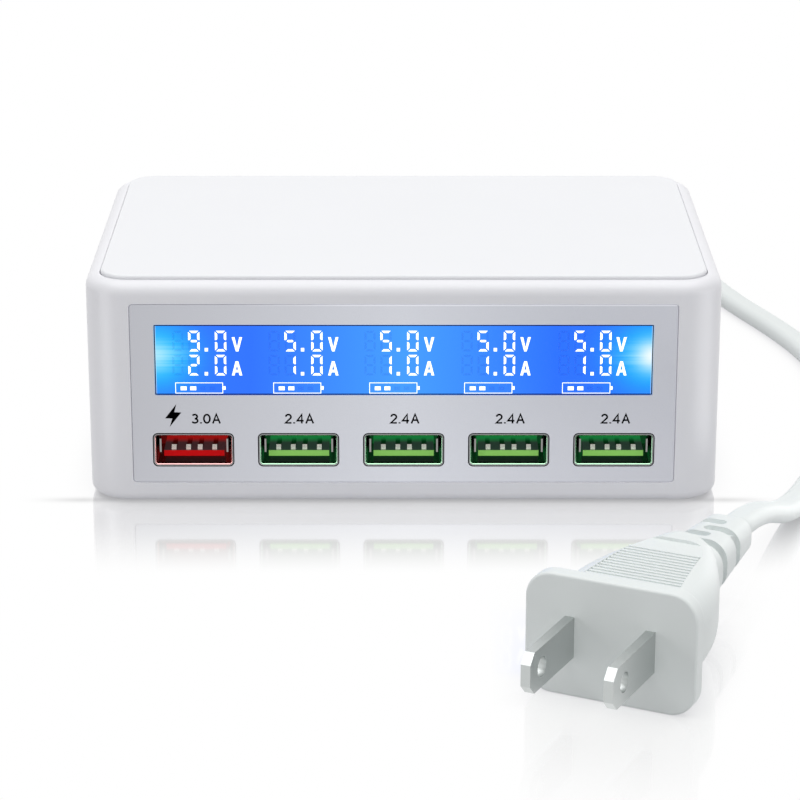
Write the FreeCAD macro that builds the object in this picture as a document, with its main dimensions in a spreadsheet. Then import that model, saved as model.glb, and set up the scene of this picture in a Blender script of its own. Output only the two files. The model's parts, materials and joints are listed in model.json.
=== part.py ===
"""Desktop charger with five USB sockets, a blue display and a detachable mains lead.

Frame: millimetres, +Z up, origin on the floor under the middle of the case, front towards -Y.
"""
import FreeCAD, Part
import math
import os
import Sketcher
from FreeCAD import Placement, Rotation, Vector

SIZES = {
    # Case
    "case_width": 109.0,
    "case_depth": 74.0,
    "case_height": 39.3,
    "corner_radius": 7.5,
    "top_edge_radius": 2.2,
    "bottom_edge_radius": 1.6,
    "wall": 2.4,
    "top_wall": 2.8,
    "fit_gap": 0.2,
    # Top panel
    "lid_inset": 2.6,
    "lid_seat": 0.9,
    "lid_thickness": 1.6,
    "lid_edge_radius": 0.4,
    # Front panel
    "panel_margin_across": 7.9,
    "panel_margin_top": 3.7,
    "panel_bottom": 3.9,
    "panel_thickness": 1.2,
    "panel_setback": 0.12,
    "panel_gap": 0.08,
    "panel_radius": 0.6,
    "panel_ledge": 1.8,
    "panel_edge_radius": 0.12,
    # Display
    "lcd_margin_across": 4.05,
    "lcd_margin_top": 3.6,
    "lcd_height": 12.6,
    "lcd_radius": 0.25,
    "lcd_gap": 0.08,
    "lcd_setback": 0.15,
    "lcd_glass_thickness": 2.2,
    "lcd_light_thickness": 2.6,
    "lcd_tray_wall": 1.4,
    "lcd_tray_floor": 0.8,
    "display_board_inset": 3.7,
    "display_board_height": 17.0,
    "display_board_thickness": 1.2,
    "display_post_inset": 6.3,
    "display_post_radius": 2.3,
    # Base, feet and screws
    "base_thickness": 2.0,
    "foot_height": 0.3,
    "foot_radius": 5.5,
    "foot_recess": 1.0,
    "foot_edge_radius": 0.25,
    "foot_inset_across": 20.0,
    "foot_inset_deep": 11.0,
    "boss_inset_across": 7.0,
    "boss_inset_deep": 13.0,
    "boss_radius": 3.2,
    "screw_radius": 1.1,
    "screw_head_radius": 2.3,
    "screw_head_height": 1.2,
    "screw_length": 10.0,
    "short_screw_length": 3.4,
    "screw_gap": 0.1,
    # USB sockets
    "port_margin": 10.45,
    "port_height": 9.8,
    "shell_width": 13.6,
    "shell_height": 5.7,
    "shell_metal": 0.3,
    "shell_lip": 0.18,
    "shell_gap": 0.2,
    "shell_length": 14.0,
    "shell_radius": 0.7,
    "spring_setback": 1.2,
    "spring_rise": 0.9,
    "spring_metal": 0.3,
    "spring_height": 2.4,
    "spring_lift": 0.4,
    "spring_length": 5.0,
    "tongue_width": 10.4,
    "tongue_thickness": 1.0,
    "tongue_setback": 1.6,
    "tongue_drop": 0.65,
    "insulator_depth": 3.4,
    "contact_width": 0.8,
    "contact_thickness": 0.25,
    "contact_bow": 0.6,
    "contact_outer": 3.5,
    "contact_inner": 1.0,
    # Main board
    "board_inset": 11.0,
    "board_thickness": 1.6,
    "board_front_gap": 0.6,
    "board_rear_gap": 1.0,
    "standoff_radius": 2.6,
    "standoff_inset": 3.9,
    "standoff_setback": 6.75,
    "standoff_rear_gap": 5.6,
    # Mains inlet and the lead's connector
    "inlet_offset": 30.5,
    "inlet_width": 20.0,
    "inlet_height": 12.4,
    "inlet_depth": 14.0,
    "inlet_back": 2.2,
    "nose_width": 13.6,
    "nose_height": 7.8,
    "pin_radius": 1.2,
    "pin_spacing": 8.6,
    "pin_length": 9.0,
    "grip_width": 16.0,
    "grip_height": 10.4,
    "grip_length": 16.0,
    "relief_length": 20.0,
    # Parts on the board
    "transformer_x": 1.0,
    "transformer_y": 6.0,
    "core_width": 26.0,
    "core_depth": 9.0,
    "core_height": 20.0,
    "core_leg": 7.0,
    "core_yoke": 4.0,
    "core_lift": 3.0,
    "bobbin_wall": 0.8,
    "winding_thickness": 4.0,
    "bulk_radius": 8.0,
    "bulk_height": 25.0,
    "output_can_radius": 4.0,
    "output_can_height": 16.0,
    "output_can_pitch": 10.0,
    "toroid_radius": 4.6,
    "toroid_section": 1.9,
    "wire_build": 0.6,
    "fuse_radius": 1.9,
    "fuse_length": 11.0,
    "sink_length": 26.0,
    "sink_height": 22.0,
    "sink_plate": 2.0,
    "sink_fin": 4.0,
    "ribbon_width": 14.0,
    "ribbon_thickness": 0.5,
    "socket_height": 4.0,
    "socket_depth": 3.0,
    # Cord and plug
    "cord_width": 5.2,
    "cord_thickness": 3.4,
    "coil_x": 24.0,
    "coil_y": 118.0,
    "coil_radius": 28.5,
    "coil_build": 15.8,
    "coil_height": 7.2,
    "tie_thickness": 0.5,
    "tie_width": 8.0,
    "plug_x": 29.9,
    "plug_y": -121.0,
    "plug_turn": 64.0,
    "flange_width": 27.0,
    "flange_height": 19.0,
    "flange_thickness": 2.8,
    "flange_radius": 4.2,
    "plug_body_width": 22.0,
    "plug_body_height": 14.4,
    "plug_body_length": 27.0,
    "plug_neck_width": 11.0,
    "plug_neck_height": 9.4,
    "plug_relief_length": 20.0,
    "relief_end_width": 8.0,
    "relief_end_height": 6.2,
    "blade_spacing": 12.7,
    "blade_width": 6.35,
    "blade_thickness": 1.5,
    "blade_length": 16.0,
    "blade_hole_radius": 1.55,
    "blade_hole_inset": 4.2,
}

PORT_COUNT = 5
GRIP_RIBS = 15

doc = FreeCAD.newDocument("charger")


def fill_sheet():
    """The sheet of driving dimensions, one named cell for each."""
    sheet = doc.addObject("Spreadsheet::Sheet", "Sizes")
    for row, (name, value) in enumerate(SIZES.items(), start=1):
        sheet.set("A%d" % row, name)
        sheet.set("B%d" % row, str(value))
        sheet.setAlias("B%d" % row, name)
    doc.recompute()
    return sheet


class Dim:
    """A size as a number, together with the sheet expression that it comes from."""

    def __init__(self, value, text):
        self.value = value
        self.text = text

    def _join(self, other, sign, value):
        return Dim(value, "(%s %s %s)" % (self.text, sign, as_dim(other).text))

    def __add__(self, other):
        return self._join(other, "+", self.value + as_dim(other).value)

    def __sub__(self, other):
        return self._join(other, "-", self.value - as_dim(other).value)

    def __mul__(self, other):
        return self._join(other, "*", self.value * as_dim(other).value)

    def __truediv__(self, other):
        return self._join(other, "/", self.value / as_dim(other).value)

    def __neg__(self):
        return Dim(-self.value, "(0 - %s)" % self.text)


def as_dim(number):
    return number if isinstance(number, Dim) else Dim(float(number), repr(float(number)))


SHEET = fill_sheet()


class Sizes:
    """Each size of the sheet by its name."""


size = Sizes()
for size_name in SIZES:
    setattr(size, size_name, Dim(float(SHEET.get(size_name)), "Sizes." + size_name))

ZERO = as_dim(0)

# Heights and depths that several pieces share
FRONT = -(size.case_depth / 2)
REAR = size.case_depth / 2
CASE_TOP = size.foot_height + size.case_height
CEILING = CASE_TOP - size.top_wall
BASE_TOP = size.foot_height + size.base_thickness
PANEL_FRONT = FRONT + size.panel_setback
PANEL_BACK = PANEL_FRONT + size.panel_thickness
PANEL_WIDTH = size.case_width - size.panel_margin_across * 2
PANEL_TOP = CASE_TOP - size.panel_margin_top
PANEL_HEIGHT = PANEL_TOP - size.panel_bottom
PANEL_MIDDLE = size.panel_bottom + PANEL_HEIGHT / 2
LCD_WIDTH = PANEL_WIDTH - size.lcd_margin_across * 2
LCD_MIDDLE = PANEL_TOP - size.lcd_margin_top - size.lcd_height / 2
PORT_PITCH = (PANEL_WIDTH - size.port_margin * 2) / (PORT_COUNT - 1)
DISPLAY_BOARD_WIDTH = size.case_width - size.display_board_inset * 2
GLASS_FRONT = PANEL_FRONT + size.lcd_setback
GLASS_BACK = GLASS_FRONT + size.lcd_glass_thickness
LIGHT_BACK = GLASS_BACK + size.lcd_light_thickness
TRAY_BACK = LIGHT_BACK + size.lcd_tray_floor
DISPLAY_BOARD_BACK = TRAY_BACK + size.display_board_thickness
BOARD_TOP = size.port_height - size.shell_height / 2
BOARD_BOTTOM = BOARD_TOP - size.board_thickness
BOARD_FRONT = FRONT + size.wall + size.board_front_gap
BOARD_REAR = REAR - size.wall - size.board_rear_gap
BOARD_WIDTH = size.case_width - size.board_inset * 2
BOARD_LEFT = -(BOARD_WIDTH / 2)
BOARD_RIGHT = BOARD_WIDTH / 2
SHELL_BACK = PANEL_FRONT + size.shell_length
STANDOFF_FRONT = SHELL_BACK + size.standoff_setback
STANDOFF_REAR = BOARD_REAR - size.standoff_rear_gap
INLET_X = size.inlet_offset - size.case_width / 2
INLET_MIDDLE = BOARD_TOP + size.inlet_height / 2
PLUG_HEIGHT = size.flange_height / 2
COIL_BOTTOM = size.tie_thickness

NODES = []


def node(label, made):
    """Registers a finished sub-part under the name of its file."""
    made.Label = label
    NODES.append((label, made))
    return made


def bind(made, prop, dim):
    made.setExpression(prop, as_dim(dim).text)


def place(made, x=ZERO, y=ZERO, z=ZERO):
    for axis, dim in (("x", x), ("y", y), ("z", z)):
        bind(made, "Placement.Base." + axis, dim)


def box(name, corner, lengths):
    made = doc.addObject("Part::Box", name)
    for prop, dim in zip(("Length", "Width", "Height"), lengths):
        bind(made, prop, dim)
    place(made, *corner)
    return made


def centred_box(name, x, y, z, across, deep, high):
    """A box that stands on z, with x and y at its middle."""
    across, deep = as_dim(across), as_dim(deep)
    return box(name, (as_dim(x) - across / 2, as_dim(y) - deep / 2, z), (across, deep, high))


TURN_TO = {
    "X": Rotation(Vector(0, 1, 0), 90),
    "Y": Rotation(Vector(1, 0, 0), -90),
    "Z": Rotation(),
}


def cylinder(name, x, y, z, radius, length, axis="Z"):
    made = doc.addObject("Part::Cylinder", name)
    bind(made, "Radius", radius)
    bind(made, "Height", length)
    made.Placement = Placement(Vector(), TURN_TO[axis])
    place(made, as_dim(x), as_dim(y), as_dim(z))
    return made


def fuse(name, shapes):
    made = doc.addObject("Part::MultiFuse", name)
    made.Shapes = shapes
    made.Refine = True
    return made


def cut(name, base, tools):
    made = doc.addObject("Part::Cut", name)
    made.Base = base
    made.Tool = tools[0] if len(tools) == 1 else fuse(name + "_cuts", tools)
    return made


def group(name, shapes):
    made = doc.addObject("Part::Compound", name)
    made.Links = shapes
    return made


def new_body(name):
    return doc.addObject("PartDesign::Body", name)


def sketch_on(body, role, offset=ZERO):
    """A sketch on one of the body's origin planes, moved along that plane's normal."""
    plane = next(p for p in body.Origin.OriginFeatures if p.Role == role)
    sketch = body.newObject("Sketcher::SketchObject", body.Name + "_sketch")
    sketch.AttachmentSupport = [(plane, "")]
    sketch.MapMode = "FlatFace"
    bind(sketch, "AttachmentOffset.Base.z", offset)
    return sketch


def front_sketch(body, y):
    """A sketch seen from the front, X to the right and Z up, at the depth y."""
    return sketch_on(body, "XZ_Plane", -as_dim(y))


def hold(sketch, kind, geo, point, dim):
    index = sketch.addConstraint(Sketcher.Constraint(kind, -1, 1, geo, point, dim.value))
    sketch.setExpression("Constraints[%d]" % index, dim.text)


def hold_point(sketch, geo, point, x, y):
    hold(sketch, "DistanceX", geo, point, x)
    hold(sketch, "DistanceY", geo, point, y)


def hold_radius(sketch, geo, radius):
    index = sketch.addConstraint(Sketcher.Constraint("Radius", geo, radius.value))
    sketch.setExpression("Constraints[%d]" % index, radius.text)


def polygon(sketch, points):
    """A closed outline of straight lines through the points."""
    points = [(as_dim(x), as_dim(y)) for x, y in points]
    first = sketch.GeometryCount
    flat = [Vector(x.value, y.value, 0) for x, y in points]
    count = len(flat)
    for i in range(count):
        sketch.addGeometry(Part.LineSegment(flat[i], flat[(i + 1) % count]))
    for i, (x, y) in enumerate(points):
        sketch.addConstraint(Sketcher.Constraint("Coincident", first + i, 2, first + (i + 1) % count, 1))
        hold_point(sketch, first + i, 1, x, y)


def rectangle(sketch, x, y, width, height):
    x, y, width, height = (as_dim(d) for d in (x, y, width, height))
    left, right = x - width / 2, x + width / 2
    low, high = y - height / 2, y + height / 2
    polygon(sketch, [(left, low), (right, low), (right, high), (left, high)])


def rounded_rectangle(sketch, x, y, width, height, radius):
    """A rectangle about (x, y) with four round corners."""
    x, y, width, height, radius = (as_dim(d) for d in (x, y, width, height, radius))
    left, right = x - width / 2, x + width / 2
    low, high = y - height / 2, y + height / 2
    ends = [
        ((left + radius, low), (right - radius, low)),
        ((right, low + radius), (right, high - radius)),
        ((right - radius, high), (left + radius, high)),
        ((left, high - radius), (left, low + radius)),
    ]
    middles = [
        (right - radius, low + radius),
        (right - radius, high - radius),
        (left + radius, high - radius),
        (left + radius, low + radius),
    ]
    first = sketch.GeometryCount
    for start, end in ends:
        sketch.addGeometry(
            Part.LineSegment(Vector(start[0].value, start[1].value, 0), Vector(end[0].value, end[1].value, 0))
        )
    for i, (mx, my) in enumerate(middles):
        circle = Part.Circle(Vector(mx.value, my.value, 0), Vector(0, 0, 1), radius.value)
        turn = (i - 1) * math.pi / 2
        sketch.addGeometry(Part.ArcOfCircle(circle, turn, turn + math.pi / 2))
    for i, (start, end) in enumerate(ends):
        hold_point(sketch, first + i, 1, *start)
        hold_point(sketch, first + i, 2, *end)
        sketch.addConstraint(Sketcher.Constraint("Coincident", first + i, 2, first + 4 + i, 1))
        sketch.addConstraint(Sketcher.Constraint("Coincident", first + 4 + i, 2, first + (i + 1) % 4, 1))
        hold_radius(sketch, first + 4 + i, radius)


def circle(sketch, x, y, radius):
    x, y, radius = as_dim(x), as_dim(y), as_dim(radius)
    geo = sketch.addGeometry(Part.Circle(Vector(x.value, y.value, 0), Vector(0, 0, 1), radius.value))
    hold_point(sketch, geo, 3, x, y)
    hold_radius(sketch, geo, radius)


def extrude(body, kind, sketch, length, reverse=False, midplane=False):
    made = body.newObject("PartDesign::" + kind, body.Name + "_" + kind.lower())
    made.Profile = sketch
    made.Type = "Length"
    made.Reversed = reverse
    if midplane:
        made.Midplane = True
    bind(made, "Length", length)
    doc.recompute()
    return made


def pad(body, sketch, length, reverse=False, midplane=False):
    return extrude(body, "Pad", sketch, length, reverse, midplane)


def pocket(body, sketch, length, reverse=False):
    """A pocket that has to take something away."""
    before = body.Shape.Volume
    made = extrude(body, "Pocket", sketch, length, reverse)
    if body.Shape.Volume >= before:
        raise ValueError("a pocket of %s cuts nothing" % body.Name)
    return made


def dress(body, kind, prop, dim, test):
    """A fillet or chamfer on the edges whose middle passes the test."""
    tip = body.Tip
    names = [
        "Edge%d" % (i + 1)
        for i, edge in enumerate(tip.Shape.Edges)
        if test(edge.valueAt((edge.FirstParameter + edge.LastParameter) / 2))
    ]
    made = body.newObject("PartDesign::" + kind, body.Name + "_" + kind.lower())
    made.Base = (tip, names)
    bind(made, prop, dim)
    doc.recompute()
    return made


def fillet(body, radius, test):
    return dress(body, "Fillet", "Radius", radius, test)


def near(number, dim):
    return abs(number - dim.value) < 1e-4


def corners(across, deep):
    """Four places, mirrored left to right and front to back."""
    return [(x, y) for x in (-across, across) for y in (-deep, deep)]


def boss_places():
    return corners(size.case_width / 2 - size.boss_inset_across, size.case_depth / 2 - size.boss_inset_deep)


def foot_places():
    return corners(size.case_width / 2 - size.foot_inset_across, size.case_depth / 2 - size.foot_inset_deep)


def standoff_places():
    across = BOARD_RIGHT - size.standoff_inset
    return [(x, y) for x in (-across, across) for y in (STANDOFF_FRONT, STANDOFF_REAR)]


def post_places():
    across = size.case_width / 2 - size.display_post_inset
    return [-across, across]


def port_places():
    middle = (PORT_COUNT - 1) / 2
    return [PORT_PITCH * (i - middle) for i in range(PORT_COUNT)]


def inlet_outline(sketch, grow):
    """The double-round outline of the mains inlet, larger than the connector's nose by grow."""
    height = size.nose_height + grow * 2
    rounded_rectangle(sketch, INLET_X, INLET_MIDDLE, size.nose_width + grow * 2, height, height * 0.46)


def housing():
    """The moulded case: four walls and a top, open below, with seats for the panels."""
    body = new_body("housing_body")
    outline = sketch_on(body, "XY_Plane", size.foot_height)
    rounded_rectangle(outline, 0, 0, size.case_width, size.case_depth, size.corner_radius)
    pad(body, outline, size.case_height)
    fillet(body, size.top_edge_radius, lambda p: near(p.z, CASE_TOP))
    fillet(body, size.bottom_edge_radius, lambda p: near(p.z, size.foot_height))

    cavity = sketch_on(body, "XY_Plane", size.foot_height)
    rounded_rectangle(
        cavity, 0, 0, size.case_width - size.wall * 2, size.case_depth - size.wall * 2, size.corner_radius - size.wall
    )
    pocket(body, cavity, size.case_height - size.top_wall, reverse=True)

    seat = sketch_on(body, "XY_Plane", CASE_TOP)
    lid_outline(seat, size.fit_gap)
    pocket(body, seat, size.lid_seat)

    recess = front_sketch(body, FRONT)
    panel_outline(recess, size.panel_gap)
    pocket(body, recess, size.panel_setback + size.panel_thickness)

    opening = front_sketch(body, FRONT)
    panel_outline(opening, -size.panel_ledge)
    pocket(body, opening, size.wall)

    inlet = front_sketch(body, REAR)
    inlet_outline(inlet, size.fit_gap * 2)
    pocket(body, inlet, size.wall, reverse=True)

    bosses = sketch_on(body, "XY_Plane", BASE_TOP)
    for x, y in boss_places():
        circle(bosses, x, y, size.boss_radius)
    pad(body, bosses, CEILING - BASE_TOP)
    pilots = sketch_on(body, "XY_Plane", BASE_TOP)
    for x, y in boss_places():
        circle(pilots, x, y, size.screw_radius + size.screw_gap)
    pocket(body, pilots, size.screw_length, reverse=True)

    posts = front_sketch(body, FRONT + size.wall)
    for x in post_places():
        circle(posts, x, LCD_MIDDLE, size.display_post_radius)
    pad(body, posts, TRAY_BACK - FRONT - size.wall, reverse=True)
    holes = front_sketch(body, TRAY_BACK)
    for x in post_places():
        circle(holes, x, LCD_MIDDLE, size.screw_radius + size.screw_gap)
    pocket(body, holes, size.short_screw_length, reverse=True)
    return node("housing", body)


def lid_outline(sketch, grow):
    inset = size.lid_inset - grow
    rounded_rectangle(
        sketch, 0, 0, size.case_width - inset * 2, size.case_depth - inset * 2, size.corner_radius - inset
    )


def panel_outline(sketch, grow):
    """The front panel's outline, larger by grow all round, or smaller where grow is negative."""
    radius = size.panel_radius + grow if grow.value > 0 else size.panel_radius
    rounded_rectangle(
        sketch, 0, PANEL_MIDDLE, PANEL_WIDTH + grow * 2, PANEL_HEIGHT + grow * 2, radius
    )


def top_panel():
    """The raised cover plate on the top, with soft edges."""
    body = new_body("top_panel_body")
    outline = sketch_on(body, "XY_Plane", CASE_TOP - size.lid_seat)
    lid_outline(outline, ZERO)
    pad(body, outline, size.lid_thickness)
    top = CASE_TOP - size.lid_seat + size.lid_thickness
    fillet(body, size.lid_edge_radius, lambda p: near(p.z, top))
    return node("top_panel", body)


def front_panel():
    """The silver plate with the display window and a cut-out for each socket."""
    body = new_body("front_panel_body")
    outline = front_sketch(body, PANEL_FRONT)
    panel_outline(outline, ZERO)
    rounded_rectangle(outline, 0, LCD_MIDDLE, LCD_WIDTH, size.lcd_height, size.lcd_radius)
    for x in port_places():
        rounded_rectangle(
            outline, x, size.port_height,
            size.shell_width + size.shell_gap * 2, size.shell_height + size.shell_gap * 2,
            size.shell_radius + size.shell_gap,
        )
    pad(body, outline, size.panel_thickness, reverse=True)
    half_width = PANEL_WIDTH.value / 2
    low, high = size.panel_bottom.value, size.panel_bottom.value + PANEL_HEIGHT.value

    def on_rim(p):
        edge = min(half_width - abs(p.x), p.z - low, high - p.z)
        return near(p.y, PANEL_FRONT) and edge < size.panel_radius.value
    fillet(body, size.panel_edge_radius, on_rim)
    return node("front_panel", body)


def base_cover():
    """The plate that closes the case below, with standoffs for the main board."""
    body = new_body("base_cover_body")
    inset = size.wall + size.fit_gap
    outline = sketch_on(body, "XY_Plane", size.foot_height)
    rounded_rectangle(
        outline, 0, 0, size.case_width - inset * 2, size.case_depth - inset * 2, size.corner_radius - inset
    )
    for x, y in boss_places():
        circle(outline, x, y, size.screw_radius + size.screw_gap)
    pad(body, outline, size.base_thickness)

    counterbores = sketch_on(body, "XY_Plane", size.foot_height)
    for x, y in boss_places():
        circle(counterbores, x, y, size.screw_head_radius + size.fit_gap)
    pocket(body, counterbores, size.screw_head_height, reverse=True)

    seats = sketch_on(body, "XY_Plane", size.foot_height)
    for x, y in foot_places():
        circle(seats, x, y, size.foot_radius + size.fit_gap)
    pocket(body, seats, size.foot_recess, reverse=True)

    standoffs = sketch_on(body, "XY_Plane", BASE_TOP)
    for x, y in standoff_places():
        circle(standoffs, x, y, size.standoff_radius)
    pad(body, standoffs, BOARD_BOTTOM - BASE_TOP)
    pilots = sketch_on(body, "XY_Plane", BOARD_BOTTOM)
    for x, y in standoff_places():
        circle(pilots, x, y, size.screw_radius + size.screw_gap)
    pocket(body, pilots, BOARD_BOTTOM - BASE_TOP)
    return node("base_cover", body)


def feet():
    """Four rubber feet, each with a soft lower edge."""
    made = []
    for i, (x, y) in enumerate(foot_places()):
        body = new_body("foot_body_%d" % i)
        outline = sketch_on(body, "XY_Plane")
        circle(outline, x, y, size.foot_radius)
        pad(body, outline, size.foot_height + size.foot_recess)
        fillet(body, size.foot_edge_radius, lambda p: near(p.z, ZERO))
        made.append(body)
    return node("feet", group("feet_group", made))


def screw(name, x, y, z, length, up):
    """A pan-head screw whose head bears on z, with its shank pointing up or down."""
    head_z = z - size.screw_head_height if up else z
    shank_z = z if up else z - length
    head = cylinder(name + "_head", x, y, head_z, size.screw_head_radius, size.screw_head_height)
    shank = cylinder(name + "_shank", x, y, shank_z, size.screw_radius, length)
    return fuse(name, [head, shank])


def screws():
    under = size.foot_height + size.screw_head_height
    length = size.screw_length - size.screw_gap
    made = [screw("base_screw_%d" % i, x, y, under, length, True) for i, (x, y) in enumerate(boss_places())]
    node("base_screws", group("base_screw_group", made))

    length = BOARD_TOP - BASE_TOP - size.screw_gap
    made = [screw("board_screw_%d" % i, x, y, BOARD_TOP, length, False) for i, (x, y) in enumerate(standoff_places())]
    node("board_screws", group("board_screw_group", made))

    made = []
    for i, x in enumerate(post_places()):
        name = "display_screw_%d" % i
        length = size.display_board_thickness + size.short_screw_length - size.screw_gap
        head = cylinder(
            name + "_head", x, DISPLAY_BOARD_BACK, LCD_MIDDLE, size.screw_head_radius, size.screw_head_height, "Y"
        )
        shank = cylinder(name + "_shank", x, DISPLAY_BOARD_BACK - length, LCD_MIDDLE, size.screw_radius, length, "Y")
        made.append(fuse(name, [head, shank]))
    node("display_screws", group("display_screw_group", made))


def display():
    """The display cell, its light guide, the tray that holds both and the board behind."""
    glass_width = LCD_WIDTH - size.lcd_gap * 2
    glass_height = size.lcd_height - size.lcd_gap * 2
    body = new_body("lcd_glass_body")
    outline = front_sketch(body, GLASS_FRONT)
    rounded_rectangle(outline, 0, LCD_MIDDLE, glass_width, glass_height, size.lcd_radius)
    pad(body, outline, size.lcd_glass_thickness, reverse=True)
    node("lcd_glass", body)

    guide = new_body("lcd_guide_body")
    outline = front_sketch(guide, GLASS_BACK)
    rounded_rectangle(outline, 0, LCD_MIDDLE, glass_width, glass_height, size.lcd_radius)
    pad(guide, outline, size.lcd_light_thickness, reverse=True)
    node("lcd_backlight", guide)

    pocket_width = glass_width + size.fit_gap
    pocket_height = glass_height + size.fit_gap
    tray = new_body("lcd_tray_body")
    walls = front_sketch(tray, PANEL_BACK)
    rounded_rectangle(
        walls, 0, LCD_MIDDLE, pocket_width + size.lcd_tray_wall * 2, pocket_height + size.lcd_tray_wall * 2,
        size.lcd_tray_wall,
    )
    pad(tray, walls, TRAY_BACK - PANEL_BACK, reverse=True)
    well = front_sketch(tray, PANEL_BACK)
    rounded_rectangle(well, 0, LCD_MIDDLE, pocket_width, pocket_height, size.lcd_radius)
    pocket(tray, well, LIGHT_BACK - PANEL_BACK)
    node("lcd_tray", tray)

    board = new_body("display_board_body")
    outline = front_sketch(board, TRAY_BACK)
    rounded_rectangle(
        outline, 0, LCD_MIDDLE, DISPLAY_BOARD_WIDTH, size.display_board_height, size.panel_radius
    )
    for x in post_places():
        circle(outline, x, LCD_MIDDLE, size.screw_radius + size.screw_gap)
    pad(board, outline, size.display_board_thickness, reverse=True)
    node("display_board", board)


def ribbon():
    """The flat cable from the display board to the main board, with a socket at each end."""
    middle = PORT_PITCH * 1.5
    left = middle - size.ribbon_width / 2
    socket_z = LCD_MIDDLE - size.socket_height / 2
    rear_socket = box(
        "display_plug", (left, DISPLAY_BOARD_BACK, socket_z), (size.ribbon_width, size.socket_depth, size.socket_height)
    )
    node("display_socket", rear_socket)
    board_y = SHELL_BACK + size.socket_depth
    low_socket = box(
        "board_plug", (left, board_y, BOARD_TOP), (size.ribbon_width, size.socket_depth, size.socket_height)
    )
    node("board_socket", low_socket)

    start = DISPLAY_BOARD_BACK + size.socket_depth
    half = size.ribbon_thickness / 2
    drop = board_y + size.socket_depth / 2
    low = BOARD_TOP + size.socket_height
    body = new_body("ribbon_body")
    outline = sketch_on(body, "YZ_Plane", middle)
    polygon(
        outline,
        [
            (start, LCD_MIDDLE - half),
            (drop - half, LCD_MIDDLE - half),
            (drop - half, low),
            (drop + half, low),
            (drop + half, LCD_MIDDLE + half),
            (start, LCD_MIDDLE + half),
        ],
    )
    pad(body, outline, size.ribbon_width - size.fit_gap * 2, midplane=True)
    node("display_ribbon", body)


def usb_shell(number, x):
    """The folded metal sleeve of one socket."""
    body = new_body("usb_shell_body_%d" % number)
    outline = front_sketch(body, PANEL_FRONT)
    rounded_rectangle(outline, 0, size.port_height, size.shell_width, size.shell_height, size.shell_radius)
    rounded_rectangle(
        outline, 0, size.port_height,
        size.shell_width - size.shell_metal * 2, size.shell_height - size.shell_metal * 2,
        size.shell_radius - size.shell_metal,
    )
    pad(body, outline, size.shell_length, reverse=True)
    inner_width = size.shell_width - size.shell_metal * 2
    inner_height = size.shell_height - size.shell_metal * 2
    half_width, half_height = inner_width.value / 2 + 1e-3, inner_height.value / 2 + 1e-3

    def on_mouth(p):
        inside = abs(p.x) < half_width and abs(p.z - size.port_height.value) < half_height
        return near(p.y, PANEL_FRONT) and inside
    dress(body, "Chamfer", "Size", size.shell_lip, on_mouth)
    springs = sketch_on(body, "XY_Plane", size.port_height + size.spring_lift)
    wall = inner_width / 2
    spring_front = PANEL_FRONT + size.spring_setback
    spring_back = spring_front + size.spring_length
    for side in (-1, 1):
        polygon(
            springs,
            [
                (wall * side, spring_back),
                ((wall - size.spring_rise) * side, spring_front),
                ((wall - size.spring_rise + size.spring_metal) * side, spring_front),
                (wall * side, spring_back - size.spring_metal * 5),
            ],
        )
    pad(body, springs, size.spring_height, midplane=True)
    place(body, x)
    return node("usb_shell_%d" % number, body)


def usb_insulator(number, x):
    """The coloured insulator of one socket: a block with a tongue, slotted for the contacts."""
    name = "usb_insulator_%d" % number
    gap = size.fit_gap / 4
    width = size.shell_width - size.shell_metal * 2 - gap * 2
    height = size.shell_height - size.shell_metal * 2 - gap
    tongue_top = size.port_height - size.tongue_drop
    block_front = SHELL_BACK - size.insulator_depth
    tongue_front = PANEL_FRONT + size.tongue_setback
    body = new_body(name + "_body")
    block = front_sketch(body, block_front)
    rounded_rectangle(block, 0, size.port_height - gap / 2, width, height, size.shell_radius - size.shell_metal)
    pad(body, block, size.insulator_depth, reverse=True)
    tongue = front_sketch(body, block_front)
    rectangle(tongue, 0, tongue_top - size.tongue_thickness / 2, size.tongue_width, size.tongue_thickness)
    pad(body, tongue, block_front - tongue_front)
    slots = front_sketch(body, SHELL_BACK)
    for offset in contact_places():
        rectangle(
            slots, offset, tongue_top + size.contact_thickness,
            size.contact_width + size.fit_gap, size.contact_thickness * 2,
        )
    pocket(body, slots, size.insulator_depth, reverse=True)
    place(body, x)
    return node("usb_tongue_%d" % number, body)


def contact_places():
    return [-size.contact_outer, -size.contact_inner, size.contact_inner, size.contact_outer]


def usb_contacts(number, x):
    """Four spring contacts on the tongue, each bowed up near its tip, with a tail down to the board."""
    made = []
    low = size.port_height - size.tongue_drop
    thick = size.contact_thickness
    tip = PANEL_FRONT + size.tongue_setback + thick
    bow_front = tip + size.contact_bow
    bow_back = bow_front + size.contact_bow
    bow_end = bow_back + size.contact_bow
    tail = SHELL_BACK + size.fit_gap
    for i, offset in enumerate(contact_places()):
        body = new_body("usb_contact_body_%d_%d" % (number, i))
        outline = sketch_on(body, "YZ_Plane", offset)
        polygon(
            outline,
            [
                (tip, low),
                (bow_front, low + size.contact_bow),
                (bow_back, low + size.contact_bow),
                (bow_end, low),
                (tail, low),
                (tail, BOARD_TOP),
                (tail + thick, BOARD_TOP),
                (tail + thick, low + thick),
                (bow_end + thick / 2, low + thick),
                (bow_back + thick / 2, low + size.contact_bow + thick),
                (bow_front - thick / 2, low + size.contact_bow + thick),
                (tip - thick / 2, low + thick),
            ],
        )
        pad(body, outline, size.contact_width, midplane=True)
        place(body, x)
        made.append(body)
    return node("usb_contacts_%d" % number, group("usb_contact_group_%d" % number, made))


def sockets():
    for number, x in enumerate(port_places(), start=1):
        usb_shell(number, x)
        usb_insulator(number, x)
        usb_contacts(number, x)


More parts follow.
